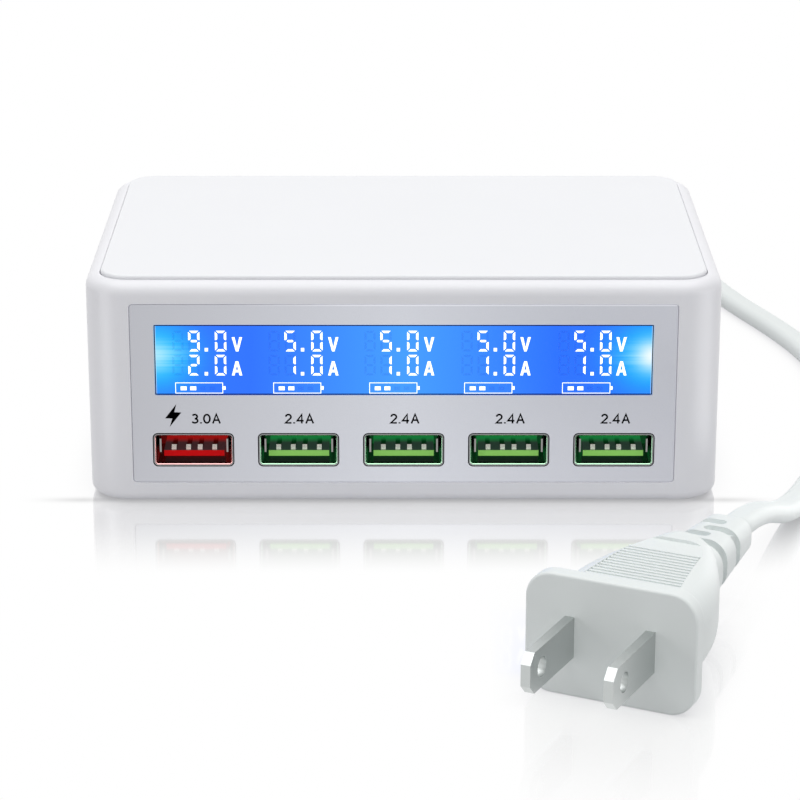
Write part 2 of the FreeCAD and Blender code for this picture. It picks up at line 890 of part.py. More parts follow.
def main_board():
    body = new_body("main_board_body")
    outline = sketch_on(body, "XY_Plane", BOARD_BOTTOM)
    depth = BOARD_REAR - BOARD_FRONT
    rounded_rectangle(outline, 0, (BOARD_REAR + BOARD_FRONT) / 2, BOARD_WIDTH, depth, size.panel_radius)
    for x, y in standoff_places():
        circle(outline, x, y, size.screw_radius + size.screw_gap)
    pad(body, outline, size.board_thickness)
    return node("main_board", body)


def mains_inlet():
    """The two-pin inlet on the board behind the rear wall."""
    back = REAR - size.wall
    front = back - size.inlet_depth
    body = new_body("ac_inlet_body")
    outline = front_sketch(body, back)
    rounded_rectangle(
        outline, INLET_X, INLET_MIDDLE, size.inlet_width, size.inlet_height, size.panel_radius
    )
    pad(body, outline, size.inlet_depth)
    well = front_sketch(body, back)
    inlet_outline(well, size.fit_gap)
    pocket(body, well, size.inlet_depth - size.inlet_back, reverse=True)
    holes = front_sketch(body, front)
    for x in pin_places():
        circle(holes, x, INLET_MIDDLE, size.pin_radius + size.screw_gap)
    pocket(body, holes, size.inlet_back)
    node("ac_inlet", body)

    made = []
    for i, x in enumerate(pin_places()):
        shaft = cylinder(
            "inlet_pin_shaft_%d" % i, x, front - size.pin_radius, INLET_MIDDLE,
            size.pin_radius, size.pin_length + size.inlet_back + size.pin_radius, "Y",
        )
        tail = cylinder(
            "inlet_pin_tail_%d" % i, x, front - size.pin_radius, BOARD_TOP,
            size.pin_radius, INLET_MIDDLE - BOARD_TOP,
        )
        made.append(fuse("inlet_pin_%d" % i, [shaft, tail]))
    node("inlet_pins", group("inlet_pin_group", made))


def pin_places():
    return [INLET_X - size.pin_spacing / 2, INLET_X + size.pin_spacing / 2]


def transformer():
    """Two facing E cores on a pinned former, with one wound coil between the flanges."""
    x, y = size.transformer_x, size.transformer_y
    gap = size.fit_gap / 2
    low = BOARD_TOP + size.core_lift
    leg = size.core_leg
    window = (size.core_width - leg - size.core_yoke * 2) / 2
    window_low = low + size.core_yoke
    window_high = size.core_height - size.core_yoke * 2
    block = centred_box("core_block", x, y, low, size.core_width, size.core_depth, size.core_height)
    reach = (leg + window) / 2
    windows = [
        centred_box("core_window_%d" % i, x + reach * side, y, window_low, window, size.core_depth, window_high)
        for i, side in enumerate((-1, 1))
    ]
    node("transformer_core", cut("core_cut", block, windows))

    wall = size.bobbin_wall
    sleeve_width = leg + gap * 2 + wall * 2
    sleeve_depth = size.core_depth + gap * 2 + wall * 2
    flange_width = leg + window * 2 - gap * 2
    flange_depth = sleeve_depth + size.winding_thickness * 2 + wall
    spool_low = window_low
    spool_high = window_high - gap
    sleeve = centred_box("bobbin_sleeve", x, y, spool_low, sleeve_width, sleeve_depth, spool_high)
    flange_low = centred_box("bobbin_low", x, y, spool_low, flange_width, flange_depth, wall)
    flange_high = centred_box(
        "bobbin_high", x, y, spool_low + spool_high - wall, flange_width, flange_depth, wall
    )
    stands = [
        box(
            "bobbin_stand_%d" % i,
            (x - flange_width / 2, y + (size.core_depth / 2 + gap) * side - (wall * 3 if side < 0 else 0), BOARD_TOP),
            (flange_width, wall * 3, spool_low + wall - BOARD_TOP),
        )
        for i, side in enumerate((-1, 1))
    ]
    hollow = centred_box(
        "bobbin_hollow", x, y, spool_low, leg + gap * 2, size.core_depth + gap * 2, spool_high
    )
    solid = fuse("bobbin_solid", [sleeve, flange_low, flange_high] + stands)
    node("transformer_bobbin", cut("bobbin_cut", solid, [hollow]))

    coil_width = sleeve_width + (window - wall - gap * 3) * 2
    coil_depth = sleeve_depth + size.winding_thickness * 2
    body = new_body("winding_body")
    turns = sketch_on(body, "XY_Plane", spool_low + wall)
    rounded_rectangle(turns, x, y, coil_width, coil_depth, window / 2)
    rounded_rectangle(turns, x, y, sleeve_width + gap, sleeve_depth + gap, gap / 2)
    pad(body, turns, spool_high - wall * 2)
    node("transformer_winding", body)


def can(name, x, y, radius, height):
    """A capacitor can on the board, with a crimped groove near its foot."""
    body = new_body(name)
    outline = sketch_on(body, "XZ_Plane")
    crimp = radius / 10
    low = BOARD_TOP
    polygon(
        outline,
        [
            (ZERO, low),
            (radius - crimp, low),
            (radius, low + crimp),
            (radius, low + crimp * 3),
            (radius - crimp, low + crimp * 4),
            (radius, low + crimp * 5),
            (radius, low + height - crimp),
            (radius - crimp, low + height),
            (ZERO, low + height),
        ],
    )
    turned = body.newObject("PartDesign::Revolution", name + "_turned")
    turned.Profile = outline
    turned.ReferenceAxis = (outline, ["V_Axis"])
    turned.Angle = 360
    doc.recompute()
    place(body, as_dim(x), as_dim(y))
    return body


def toroid(label, x, y, sectors):
    """A ring core lying on the board, with its wire wound over the given sectors (start, sweep)."""
    section = size.toroid_section
    wound = section + size.wire_build
    z = BOARD_TOP + wound
    core = ring(label + "_core_ring", x, y, z, section, 360)
    node(label + "_core", core)
    made = []
    for i, (start, sweep) in enumerate(sectors):
        outer = ring("%s_outer_%d" % (label, i), x, y, z, wound, sweep, start)
        hollow = ring("%s_hollow_%d" % (label, i), x, y, z, section, 360)
        made.append(cut("%s_sector_%d" % (label, i), outer, [hollow]))
    node(label + "_winding", made[0] if len(made) == 1 else group(label + "_sectors", made))


def ring(name, x, y, z, section, sweep, start=0):
    made = doc.addObject("Part::Torus", name)
    bind(made, "Radius1", size.toroid_radius)
    bind(made, "Radius2", section)
    made.Angle3 = sweep
    made.Placement = Placement(Vector(), Rotation(Vector(0, 0, 1), start))
    place(made, as_dim(x), as_dim(y), z)
    return made


def board_parts():
    """What stands on the main board besides the transformer: mains side left, output side right."""
    node("bulk_capacitor", can("bulk_can", BOARD_LEFT + 13.5, SHELL_BACK + 12.75, size.bulk_radius, size.bulk_height))
    can_x = size.transformer_x + size.core_width / 2 + size.output_can_radius + size.fit_gap * 2
    cans = [
        can(
            "output_can_%d" % i, can_x, size.transformer_y + size.output_can_pitch * (i - 1),
            size.output_can_radius, size.output_can_height,
        )
        for i in range(3)
    ]
    node("output_capacitors", group("output_can_group", cans))
    toroid("choke", BOARD_LEFT + 7.8, size.transformer_y + 3.5, [(20, 140), (200, 140)])
    toroid("inductor", BOARD_RIGHT - 7.6, size.transformer_y, [(25, 300)])

    tube = cylinder(
        "fuse_tube", -(size.fuse_length / 2), BOARD_REAR - 5.2, BOARD_TOP + size.fuse_radius,
        size.fuse_radius, size.fuse_length, "X",
    )
    node("fuse", tube)
    node("film_capacitor", centred_box("film_block", BOARD_RIGHT - 23.5, BOARD_REAR - 6.6, BOARD_TOP, 16, 7, 12))
    node("bridge_rectifier", centred_box("bridge_block", BOARD_LEFT + 22.5, size.transformer_y + 1.5, BOARD_TOP, 5, 12, 11))
    node("safety_capacitor", cylinder("safety_disc", 6, BOARD_REAR - 13.6, BOARD_TOP + 4.5, 4.5, 3.2, "Y"))
    heat_sink()


def heat_sink():
    """A finned aluminium plate with the switching transistor clamped to its plain side."""
    x = size.transformer_x - size.sink_length / 2
    y = STANDOFF_FRONT
    plate = box("sink_plate", (x, y, BOARD_TOP), (size.sink_length, size.sink_plate, size.sink_height))
    pitch = size.sink_plate * 2.4
    count = 6
    fins = [
        box(
            "sink_fin_%d" % i,
            (x + pitch * i, y - size.sink_fin, BOARD_TOP + size.socket_height),
            (size.sink_plate / 2, size.sink_fin + size.sink_plate / 2, size.sink_height - size.socket_height),
        )
        for i in range(count)
    ]
    node("heat_sink", fuse("sink_solid", [plate] + fins))
    tab = centred_box("transistor_tab", size.transformer_x, y + size.sink_plate + 0.65, BOARD_TOP + 4, 10, 1.3, 15.2)
    case = centred_box("transistor_case", size.transformer_x, y + size.sink_plate + 2.3, BOARD_TOP + 4, 10, 4.6, 9)
    legs = [
        centred_box(
            "transistor_leg_%d" % i, size.transformer_x + 2.54 * (i - 1), y + size.sink_plate + 2.5, BOARD_TOP, 0.9, 0.6, 4.2
        )
        for i in range(3)
    ]
    node("power_transistor", fuse("transistor_solid", [tab, case] + legs))


def loft(body, sections, plane="XZ_Plane"):
    """A smooth body through rounded rectangles (offset, x, y, width, height, radius)."""
    sketches = []
    for offset, x, y, width, height, radius in sections:
        sketch = sketch_on(body, plane, offset)
        rounded_rectangle(sketch, x, y, width, height, radius)
        sketches.append(sketch)
    doc.recompute()
    made = body.newObject("PartDesign::AdditiveLoft", body.Name + "_loft")
    made.Profile = sketches[0]
    made.Sections = sketches[1:]
    made.Ruled = False
    doc.recompute()
    return made


def cord_connector():
    """The lead's moulded connector: a nose in the inlet, a grip and a tapered relief."""
    body = new_body("cord_connector_body")
    back = REAR
    nose_depth = size.wall + size.inlet_depth - size.inlet_back - size.fit_gap
    nose = front_sketch(body, back)
    inlet_outline(nose, ZERO)
    pad(body, nose, nose_depth)
    holes = front_sketch(body, back - nose_depth)
    for x in pin_places():
        circle(holes, x, INLET_MIDDLE, size.pin_radius + size.screw_gap)
    pocket(body, holes, size.pin_length + size.fit_gap)

    grip = size.grip_length
    neck = grip * 0.75
    end = grip + size.relief_length
    half = size.cord_thickness / 2
    outline = [
        (back, size.grip_width, size.grip_height, size.grip_height * 0.3),
        (back + neck, size.grip_width, size.grip_height, size.grip_height * 0.3),
        (back + grip, size.relief_end_width * 1.3, size.relief_end_height * 1.3, half),
        (back + end, size.relief_end_width, size.relief_end_height, half),
    ]
    for first, second in zip(outline[:-1], outline[1:]):
        loft(
            body,
            [(-y, INLET_X, INLET_MIDDLE, width, height, radius) for y, width, height, radius in (first, second)],
        )
    return node("cord_connector", body)


def plug_body():
    """The mains plug's moulding: flange, spade-shaped grip with ribs, and a slotted relief."""
    body = new_body("plug_moulding")
    outline = sketch_on(body, "YZ_Plane")
    rounded_rectangle(outline, 0, 0, size.flange_width, size.flange_height, size.flange_radius)
    pad(body, outline, size.flange_thickness)
    edge = size.flange_thickness / 7
    fillet(body, edge, lambda p: near(p.x, ZERO) or near(p.x, size.flange_thickness))

    start = size.flange_thickness
    length = size.plug_body_length
    width, height = size.plug_body_width, size.plug_body_height
    round_side = height * 0.36
    loft(
        body,
        [
            (start, 0, 0, width, height, round_side),
            (start + length * 0.28, 0, 0, width * 1.05, height, round_side),
            (start + length * 0.62, 0, 0, width * 0.88, height, round_side),
            (start + length, 0, 0, size.plug_neck_width, height, round_side),
        ],
        "YZ_Plane",
    )
    neck = start + length
    relief = size.plug_relief_length
    loft(
        body,
        [
            (neck, 0, 0, size.plug_neck_width, size.plug_neck_height, size.plug_neck_height * 0.4),
            (neck + relief, 0, 0, size.relief_end_width, size.relief_end_height, size.relief_end_height * 0.4),
        ],
        "YZ_Plane",
    )
    grip_ribs(body, start + length * 0.1, length * 0.6)
    relief_slots(body, neck, relief)
    set_plug_place(body)
    return node("plug_body", body)


def grip_ribs(body, start, length):
    """A sunk field on the upper and lower face, crossed by ribs, and narrower towards the cord."""
    pitch = length / GRIP_RIBS
    depth = size.blade_thickness / 3
    wide = size.plug_body_width * 0.36
    narrow = size.plug_body_width * 0.23
    for side in (1, -1):
        face = size.plug_body_height * (side / 2)
        field = sketch_on(body, "XY_Plane", face)
        far = start + length * 1.3
        polygon(field, [(start, -wide), (far, -narrow), (far, narrow), (start, wide)])
        pocket(body, field, depth, reverse=side < 0)
        ribs = sketch_on(body, "XY_Plane", face - depth * side)
        for i in range(GRIP_RIBS):
            across = wide - (wide - narrow) * ((i + 1) / (GRIP_RIBS * 1.3))
            rectangle(ribs, start + pitch * (i + 0.7), 0, pitch * 0.5, across * 2)
        pad(body, ribs, depth * 0.7, reverse=side < 0)


def relief_slots(body, start, length):
    """Four staggered bending slots: each runs from one side over the middle, and cuts through beside the cord."""
    slot = length * 0.12
    past = size.cord_width * 0.22
    edge = size.plug_neck_width / 2 + slot
    beside = size.cord_width / 2 + size.fit_gap * 2
    depth = (size.plug_neck_height - size.cord_thickness) / 2 - size.fit_gap * 4
    places = [(start + length * (0.24 + 0.185 * i), 1 if i % 2 else -1) for i in range(4)]
    for side in (1, -1):
        cuts = sketch_on(body, "XY_Plane", size.plug_neck_height * (side / 2))
        for x, across in places:
            rounded_rectangle(cuts, x, (edge - past) * (across / 2), slot, edge + past, slot * 0.45)
        pocket(body, cuts, depth, reverse=side < 0)
    through = sketch_on(body, "XY_Plane", size.plug_neck_height / 2)
    for x, across in places:
        rounded_rectangle(through, x, (edge + beside) * (across / 2), slot, edge - beside, slot * 0.3)
    pocket(body, through, size.plug_neck_height)


def set_plug_place(made):
    made.Placement = Placement(Vector(), Rotation(Vector(0, 0, 1), size.plug_turn.value))
    place(made, size.plug_x, size.plug_y, PLUG_HEIGHT)


def plug_blades():
    """Two flat blades with chamfered tips and a hole each."""
    made = []
    tip = -size.blade_length
    half = size.blade_width / 2
    bevel = size.blade_thickness
    for i, side in enumerate((-1, 1)):
        body = new_body("plug_blade_body_%d" % i)
        outline = sketch_on(body, "XZ_Plane", size.blade_spacing * (side / 2))
        polygon(
            outline,
            [
                (ZERO, -half),
                (ZERO, half),
                (tip + bevel, half),
                (tip, half - bevel),
                (tip, -half + bevel),
                (tip + bevel, -half),
            ],
        )
        circle(outline, tip + size.blade_hole_inset, 0, size.blade_hole_radius)
        pad(body, outline, size.blade_thickness, midplane=True)
        set_plug_place(body)
        made.append(body)
    return node("plug_blades", group("plug_blade_group", made))


def plug_exit():
    """The end of the plug's relief, and the unit vector along its axis towards the cord."""
    turn = math.radians(size.plug_turn.value)
    axis = Vector(math.cos(turn), math.sin(turn), 0)
    reach = size.flange_thickness.value + size.plug_body_length.value + size.plug_relief_length.value
    return Vector(size.plug_x.value, size.plug_y.value, PLUG_HEIGHT.value) + axis * reach, axis


def lead_route():
    """From the connector's relief down to the floor and up to the coil's left side."""
    end = REAR.value + size.grip_length.value + size.relief_length.value
    x, floor = INLET_X.value, size.cord_thickness.value / 2
    touch = 0.02
    beside = size.coil_x.value - size.coil_radius.value - size.coil_build.value / 2 - size.cord_width.value / 2 - touch
    return [
        Vector(x, end, INLET_MIDDLE.value),
        Vector(x, end + 11, INLET_MIDDLE.value),
        Vector(x + 1.2, end + 22, INLET_MIDDLE.value - 4.0),
        Vector(x + 4.4, end + 32, floor + 2.6),
        Vector(beside - 1.3, end + 40, floor + 0.4),
        Vector(beside, size.coil_y.value + 2, floor),
    ]


def run_route():
    """From the coil's right side, round the case and along the floor to the plug."""
    exit_point, axis = plug_exit()
    floor = size.cord_thickness.value / 2
    touch = 0.02
    beside = size.coil_x.value + size.coil_radius.value + size.coil_build.value / 2 + size.cord_width.value / 2 + touch
    return [
        Vector(beside, size.coil_y.value, floor),
        Vector(beside + 0.4, 105, floor),
        Vector(beside + 2.6, 91, floor),
        Vector(70.0, 76, floor),
        Vector(75.6, 61, floor),
        Vector(80.2, 45, floor),
        Vector(82.6, 28, floor),
        Vector(82.0, 11, floor),
        Vector(79.0, -6, floor),
        Vector(74.6, -22, floor),
        Vector(69.4, -37, floor),
        Vector(63.8, -51, floor + 1.6),
        exit_point + axis * 12,
        exit_point,
    ]


def route_path(points):
    """Straight runs joined by tangent arcs, each as large as its two runs allow, and the arcs' radii."""
    edges = []
    radii = []
    last = points[0]
    for before, corner, after in zip(points, points[1:], points[2:]):
        back = (before - corner).normalize()
        ahead = (after - corner).normalize()
        half_turn = (math.pi - back.getAngle(ahead)) / 2
        cut_back = 0.45 * min((before - corner).Length, (after - corner).Length)
        radius = cut_back / math.tan(half_turn)
        start = corner + back * cut_back
        end = corner + ahead * cut_back
        middle_way = (back + ahead).normalize()
        centre = corner + middle_way * (radius / math.cos(half_turn))
        edges.append(Part.LineSegment(last, start).toShape())
        edges.append(Part.Arc(start, centre - middle_way * radius, end).toShape())
        radii.append(radius)
        last = end
    edges.append(Part.LineSegment(last, points[-1]).toShape())
    return Part.Wire(edges), radii


def cord_section(at, along):
    """The flat oval outline of the cord, square to its direction, with its wide side level."""
    side = along.cross(Vector(0, 0, 1)).normalize()
    up = side.cross(along).normalize()
    half_thick = size.cord_thickness.value / 2
    straight = (size.cord_width.value - size.cord_thickness.value) / 2
    low_left = at - side * straight - up * half_thick
    low_right = at + side * straight - up * half_thick
    high_left = at - side * straight + up * half_thick
    high_right = at + side * straight + up * half_thick
    return Part.Wire(
        [
            Part.LineSegment(low_left, low_right).toShape(),
            Part.Arc(low_right, at + side * (straight + half_thick), high_right).toShape(),
            Part.LineSegment(high_right, high_left).toShape(),
            Part.Arc(high_left, at - side * (straight + half_thick), low_left).toShape(),
        ]
    )


def cord_tube(label, points):
    path, radii = route_path(points)
    section = cord_section(points[0], (points[1] - points[0]).normalize())
    sweep = Part.BRepOffsetAPI.MakePipeShell(path)
    sweep.setBiNormalMode(Vector(0, 0, 1))
    sweep.add(section)
    sweep.build()
    sweep.makeSolid()
    made = doc.addObject("Part::Feature", label + "_tube")
    made.Shape = sweep.shape()
    made.Placement = Placement()
    due = Part.Face(section).Area * path.Length
    print(label, "length %.1f" % path.Length, "radii", " ".join("%.0f" % r for r in radii))
    if abs(made.Shape.Volume / due - 1) > 0.05:
        raise ValueError("%s has %.0f of the %.0f mm3 that its section and length give" % (label, made.Shape.Volume, due))
    return node(label, made)


def cord_coil():
    """The outer shape of the wound length of the cord, and the tie that holds its turns."""
    body = new_body("cord_coil_body")
    outline = sketch_on(body, "XZ_Plane")
    middle = COIL_BOTTOM + size.coil_height / 2
    soft = size.cord_thickness / 2
    rounded_rectangle(outline, size.coil_radius, middle, size.coil_build, size.coil_height, soft)
    turned = body.newObject("PartDesign::Revolution", "cord_coil_turned")
    turned.Profile = outline
    turned.ReferenceAxis = (outline, ["V_Axis"])
    turned.Angle = 360
    doc.recompute()
    place(body, size.coil_x, size.coil_y)
    node("cord_coil", body)

    tie = new_body("cord_tie_body")
    outline = sketch_on(tie, "YZ_Plane")
    side_room = size.fit_gap * 4
    inner_width = size.coil_build + side_room * 2
    inner_height = size.coil_height
    thick = size.tie_thickness
    rounded_rectangle(outline, -size.coil_radius, middle, inner_width + thick * 2, inner_height + thick * 2, soft + thick)
    rounded_rectangle(outline, -size.coil_radius, middle, inner_width, inner_height, soft)
    pad(tie, outline, size.tie_width, midplane=True)
    place(tie, size.coil_x, size.coil_y)
    node("cord_tie", tie)


def check_document():
    """Stops on a failed feature, or on a sub-part whose shape is missing or not valid."""
    for made in doc.Objects:
        if {"Invalid", "Error"} & set(made.State):
            raise ValueError("%s: %s" % (made.Name, made.State))
    for label, made in NODES:
        if made.Shape.isNull() or not made.Shape.Solids or not made.Shape.isValid():
            raise ValueError("%s has no valid shape" % label)


def main():
    housing()
    top_panel()
    front_panel()
    base_cover()
    feet()
    screws()
    display()
    ribbon()
    main_board()
    sockets()
    mains_inlet()
    transformer()
    board_parts()
    cord_connector()
    plug_body()
    plug_blades()
    cord_tube("cord_lead", lead_route())
    cord_tube("cord_run", run_route())
    cord_coil()
    doc.recompute()
    check_document()
    os.makedirs("parts", exist_ok=True)
    for label, made in NODES:
        made.Shape.exportStep("parts/%s.step" % label)
    print(len(NODES), "sub-parts")


main()
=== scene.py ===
"""Looks of the desktop charger: materials, display, print, cord, light and camera."""
import bpy
import json
import math
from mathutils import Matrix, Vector

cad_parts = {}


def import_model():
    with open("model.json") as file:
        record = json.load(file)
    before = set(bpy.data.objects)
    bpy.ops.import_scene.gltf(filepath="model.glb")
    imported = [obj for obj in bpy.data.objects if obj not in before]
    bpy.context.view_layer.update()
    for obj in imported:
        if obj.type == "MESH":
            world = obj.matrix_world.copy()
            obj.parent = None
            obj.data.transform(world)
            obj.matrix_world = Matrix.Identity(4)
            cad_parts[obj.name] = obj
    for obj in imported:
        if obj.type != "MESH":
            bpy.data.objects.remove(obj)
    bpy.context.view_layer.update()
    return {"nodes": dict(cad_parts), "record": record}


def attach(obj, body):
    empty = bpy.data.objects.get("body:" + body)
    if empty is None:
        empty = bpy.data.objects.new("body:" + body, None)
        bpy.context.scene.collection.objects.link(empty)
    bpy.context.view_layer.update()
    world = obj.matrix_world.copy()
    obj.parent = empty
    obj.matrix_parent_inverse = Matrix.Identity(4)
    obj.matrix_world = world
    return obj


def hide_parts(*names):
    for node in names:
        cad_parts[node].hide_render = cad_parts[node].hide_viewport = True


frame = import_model()
nodes = frame["nodes"]
MM = 0.001

# Sizes shared with the solids, in millimetres
FRONT = -37.0
PANEL_FRONT = FRONT + 0.12
GLASS_FRONT = PANEL_FRONT + 0.15
TONGUE_FRONT = PANEL_FRONT + 1.6
PANEL_SEAM = 46.75
PANEL_TOP = 35.82
LCD_HALF_WIDTH = 42.47
LCD_HALF_HEIGHT = 6.22
LCD_MIDDLE = 26.0
PORT_PITCH = 18.075
CORD_WIDTH = 5.2
CORD_THICKNESS = 3.4

# Where the looks change along a piece, in millimetres
SEAM_DEPTHS = (FRONT + 0.03, FRONT + 3.0)
SEAM_HEIGHTS = (3.6, 36.1)
PANEL_EDGE = 0.2
PANEL_EDGE_START, PANEL_EDGE_RISE = -30.0, 20.0
PANEL_PAINTED_SHADE_FADE = 46.0
LCD_LAMP_HEIGHT = 26.7
LCD_FADE = 26.0
LCD_HALO, LCD_STREAKS, LCD_CORE = (6.2, 5.4), (4.6, 2.0), (2.4, 2.2)
LCD_EDGE = 0.28
LCD_RIM = 0.17
SLEEVE_EDGE = 0.02
SLEEVE_MOUTH = 0.09
SLEEVE_SHADE_START, SLEEVE_SHADE_RISE = 0.3, 0.3
SLEEVE_BARREL = 1.1
TONGUE_EDGE = 0.2
TONGUE_HALF_PAINTED_LIGHT = 5.3
CONTACT_BOW = 0.8
PAINTED_BACK_LIGHT_START, PAINTED_BACK_LIGHT_RISE = 4.2, 2.2

# Shares of the display's lighter tones
LCD_STREAK_SHARE = 0.6
LCD_CORE_SHARE, LCD_RIGHT_SHARE = 0.312, 0.65
LCD_EDGE_SHARE = 0.45

# Shares of painted light: emission on surfaces that are no lamps, standing in for light that falls on
# them
SEAM_PAINTED_LIGHT = 0.22
PANEL_EDGE_PAINTED_HIGHLIGHT = 0.14
TONGUE_FRONT_LIGHT = 0.2
TONGUE_INNER_LIGHT = 0.45
TONGUE_BACK_LIGHT, TONGUE_MIDDLE_LIGHT = 0.14, 0.36
BOW_PAINTED_HIGHLIGHT = 0.3
CONTACT_BACK_LIGHT = 0.5


def linear(r, g, b):
    """A colour given as 0 to 255 display values, as linear light with alpha."""
    def part(v):
        v = v / 255
        return v / 12.92 if v <= 0.04045 else ((v + 0.055) / 1.055) ** 2.4
    return (part(r), part(g), part(b), 1.0)


# Node helpers

class Nodes:
    """Short calls for the nodes of one tree."""

    def __init__(self, tree):
        self.tree = tree

    def new(self, kind, **values):
        """A node with the given inputs and settings."""
        made = self.tree.nodes.new(kind)
        for key, value in values.items():
            if key in made.inputs:
                made.inputs[key].default_value = value
            else:
                setattr(made, key, value)
        return made

    def link(self, out, into):
        self.tree.links.new(out, into)

    def give(self, value, into):
        """Sets an input to a constant, or feeds it from a socket."""
        if isinstance(value, (int, float, tuple)):
            into.default_value = value
        else:
            self.link(value, into)

    def place(self):
        return self.new("ShaderNodeTexCoord").outputs["Object"]

    def axis(self, name):
        """X, Y or Z of the point in millimetres."""
        split = self.new("ShaderNodeSeparateXYZ")
        self.link(self.place(), split.inputs[0])
        return self.math("DIVIDE", split.outputs[name], MM)

    def math(self, operation, first, second=0.0, third=0.0, clamp=False):
        made = self.new("ShaderNodeMath", operation=operation, use_clamp=clamp)
        for index, value in enumerate((first, second, third)):
            self.give(value, made.inputs[index])
        return made.outputs[0]

    def product(self, first, *others):
        for other in others:
            first = self.math("MULTIPLY", first, other)
        return first

    def within(self, value, limits):
        """One where a value lies between two limits."""
        low, high = limits
        return self.product(self.math("GREATER_THAN", value, low), self.math("LESS_THAN", value, high))

    def rise(self, value, start, length):
        """From nought at the start to one a length farther on."""
        return self.math("DIVIDE", self.math("SUBTRACT", value, start), length, clamp=True)

    def bell(self, value, middle, reach, power=2.0):
        """One at the middle, and falling off softly at a reach on both sides."""
        away = self.math("DIVIDE", self.math("SUBTRACT", value, middle), reach)
        return self.math("EXPONENT", self.math("MULTIPLY", self.math("POWER", away, power), -1.0))

    def ramp(self, value, start, end, low, high, kind="LINEAR"):
        """From a low to a high value between two points."""
        made = self.new("ShaderNodeMapRange", interpolation_type=kind)
        for key, number in (("From Min", start), ("From Max", end), ("To Min", low), ("To Max", high)):
            made.inputs[key].default_value = number
        self.link(value, made.inputs["Value"])
        return made.outputs["Result"]

    def mix(self, factor, first, second):
        """A colour between two, each a colour or a socket."""
        made = self.new("ShaderNodeMix", data_type="RGBA")
        for index, value in ((0, factor), (6, first), (7, second)):
            self.give(value, made.inputs[index])
        return made.outputs[2]

    def blend(self, factor, first, second):
        """A shader between two."""
        made = self.new("ShaderNodeMixShader")
        self.link(factor, made.inputs["Fac"])
        self.link(first.outputs[0], made.inputs[1])
        self.link(second.outputs[0], made.inputs[2])
        return made

    def noise(self, scale, detail=2.0, stretch=None):
        made = self.new("ShaderNodeTexNoise", Scale=scale, Detail=detail)
        where = self.place()
        if stretch:
            mapping = self.new("ShaderNodeMapping", Scale=stretch)
            self.link(where, mapping.inputs["Vector"])
            where = mapping.outputs["Vector"]
        self.link(where, made.inputs["Vector"])
        return made.outputs["Fac"]


class Shader(Nodes):
    """A material with one Principled shader."""

    def __init__(self, name, colour, roughness=0.5, metallic=0.0, **sockets):
        self.material = bpy.data.materials.new(name)
        self.material.use_nodes = True
        self.material.cycles.emission_sampling = "NONE"
        super().__init__(self.material.node_tree)
        self.shader = self.tree.nodes["Principled BSDF"]
        self.set("Base Color", colour)
        self.set("Roughness", roughness)
        self.set("Metallic", metallic)
        for socket, value in sockets.items():
            self.set(socket.replace("_", " "), value)

    def set(self, socket, value):
        """Gives the shader's socket a constant, or feeds it."""
        self.give(value, self.shader.inputs[socket])

    def vary(self, factor, low, high):
        """Roughness between two values."""
        self.set("Roughness", self.ramp(factor, 0.0, 1.0, low, high))

    def bump(self, height, distance):
        made = self.new("ShaderNodeBump", Strength=1.0, Distance=distance)
        self.link(height, made.inputs["Height"])
        self.set("Normal", made.outputs["Normal"])


def darker(colour, share):
    return tuple(c * (1 - share) for c in colour[:3]) + (1.0,)


def moulded_shader(name, colour, roughness, grain=1800.0, depth=0.00001, drift=0.03, **sockets):
    """Moulded plastic: a fine even grain, and a slight drift of tone and gloss."""
    made = Shader(name, colour, roughness, **sockets)
    slow = made.noise(40.0, 3.0)
    made.set("Base Color", made.mix(slow, darker(colour, drift), colour))
    made.vary(slow, roughness * 0.9, roughness * 1.1)
    made.bump(made.noise(grain, 2.0), depth)
    return made


def moulded(*values, **named):
    return moulded_shader(*values, **named).material


def metal(name, colour, roughness, stretch=(1, 1, 1), grain=900.0, depth=0.000004, drift=0.06):
    """Plated or rolled metal with a fine grain that may run one way."""
    made = Shader(name, colour, roughness, 1.0)
    fine = made.noise(grain, 3.0, stretch)
    made.set("Base Color", made.mix(fine, darker(colour, drift), colour))
    made.vary(fine, roughness * 0.8, roughness * 1.25)
    made.bump(fine, depth)
    return made.material


def glow(name, colour, strength):
    made = Shader(name, colour, 0.4)
    made.set("Emission Color", colour)
    made.set("Emission Strength", strength)
    return made.material


# Materials

def display_material():
    """The lit cell: blue, lighter in the middle, with the lamps' light spreading in from both ends."""
    made = Shader("lit_display", linear(8, 30, 90), 0.25, Specular_IOR_Level=0.2)
    x, z = made.axis("X"), made.axis("Z")
    along = made.math("ABSOLUTE", x)
    inward = made.math("SUBTRACT", LCD_HALF_WIDTH, along)

    def spot(reach_across, reach_up):
        """A soft round spot of light at each end."""
        across = made.bell(inward, 0.0, reach_across)
        return made.product(across, made.bell(z, LCD_LAMP_HEIGHT, reach_up))

    middle = made.math("DIVIDE", along, LCD_FADE, clamp=True)
    lit = made.mix(middle, linear(64, 156, 255), linear(40, 112, 255))
    lit = made.mix(spot(*LCD_HALO), lit, linear(0, 208, 255))
    streaks = made.noise(340.0, 0.0, (0.03, 1.0, 8.0))
    streaks = made.math("MULTIPLY_ADD", streaks, 3.2, -1.1, clamp=True)
    streaks = made.product(spot(*LCD_STREAKS), streaks, LCD_STREAK_SHARE)
    lit = made.mix(streaks, lit, linear(150, 232, 255))
    right = made.math("GREATER_THAN", x, 0.0)
    share = made.math("MULTIPLY_ADD", right, LCD_RIGHT_SHARE, LCD_CORE_SHARE)
    lit = made.mix(made.product(spot(*LCD_CORE), share), lit, linear(246, 254, 255))
    edge = made.math("LESS_THAN", inward, LCD_EDGE)
    lit = made.mix(made.product(edge, LCD_EDGE_SHARE), lit, linear(214, 244, 255))
    made.set("Emission Color", lit)
    made.set("Emission Strength", 1.0)
    return made.material


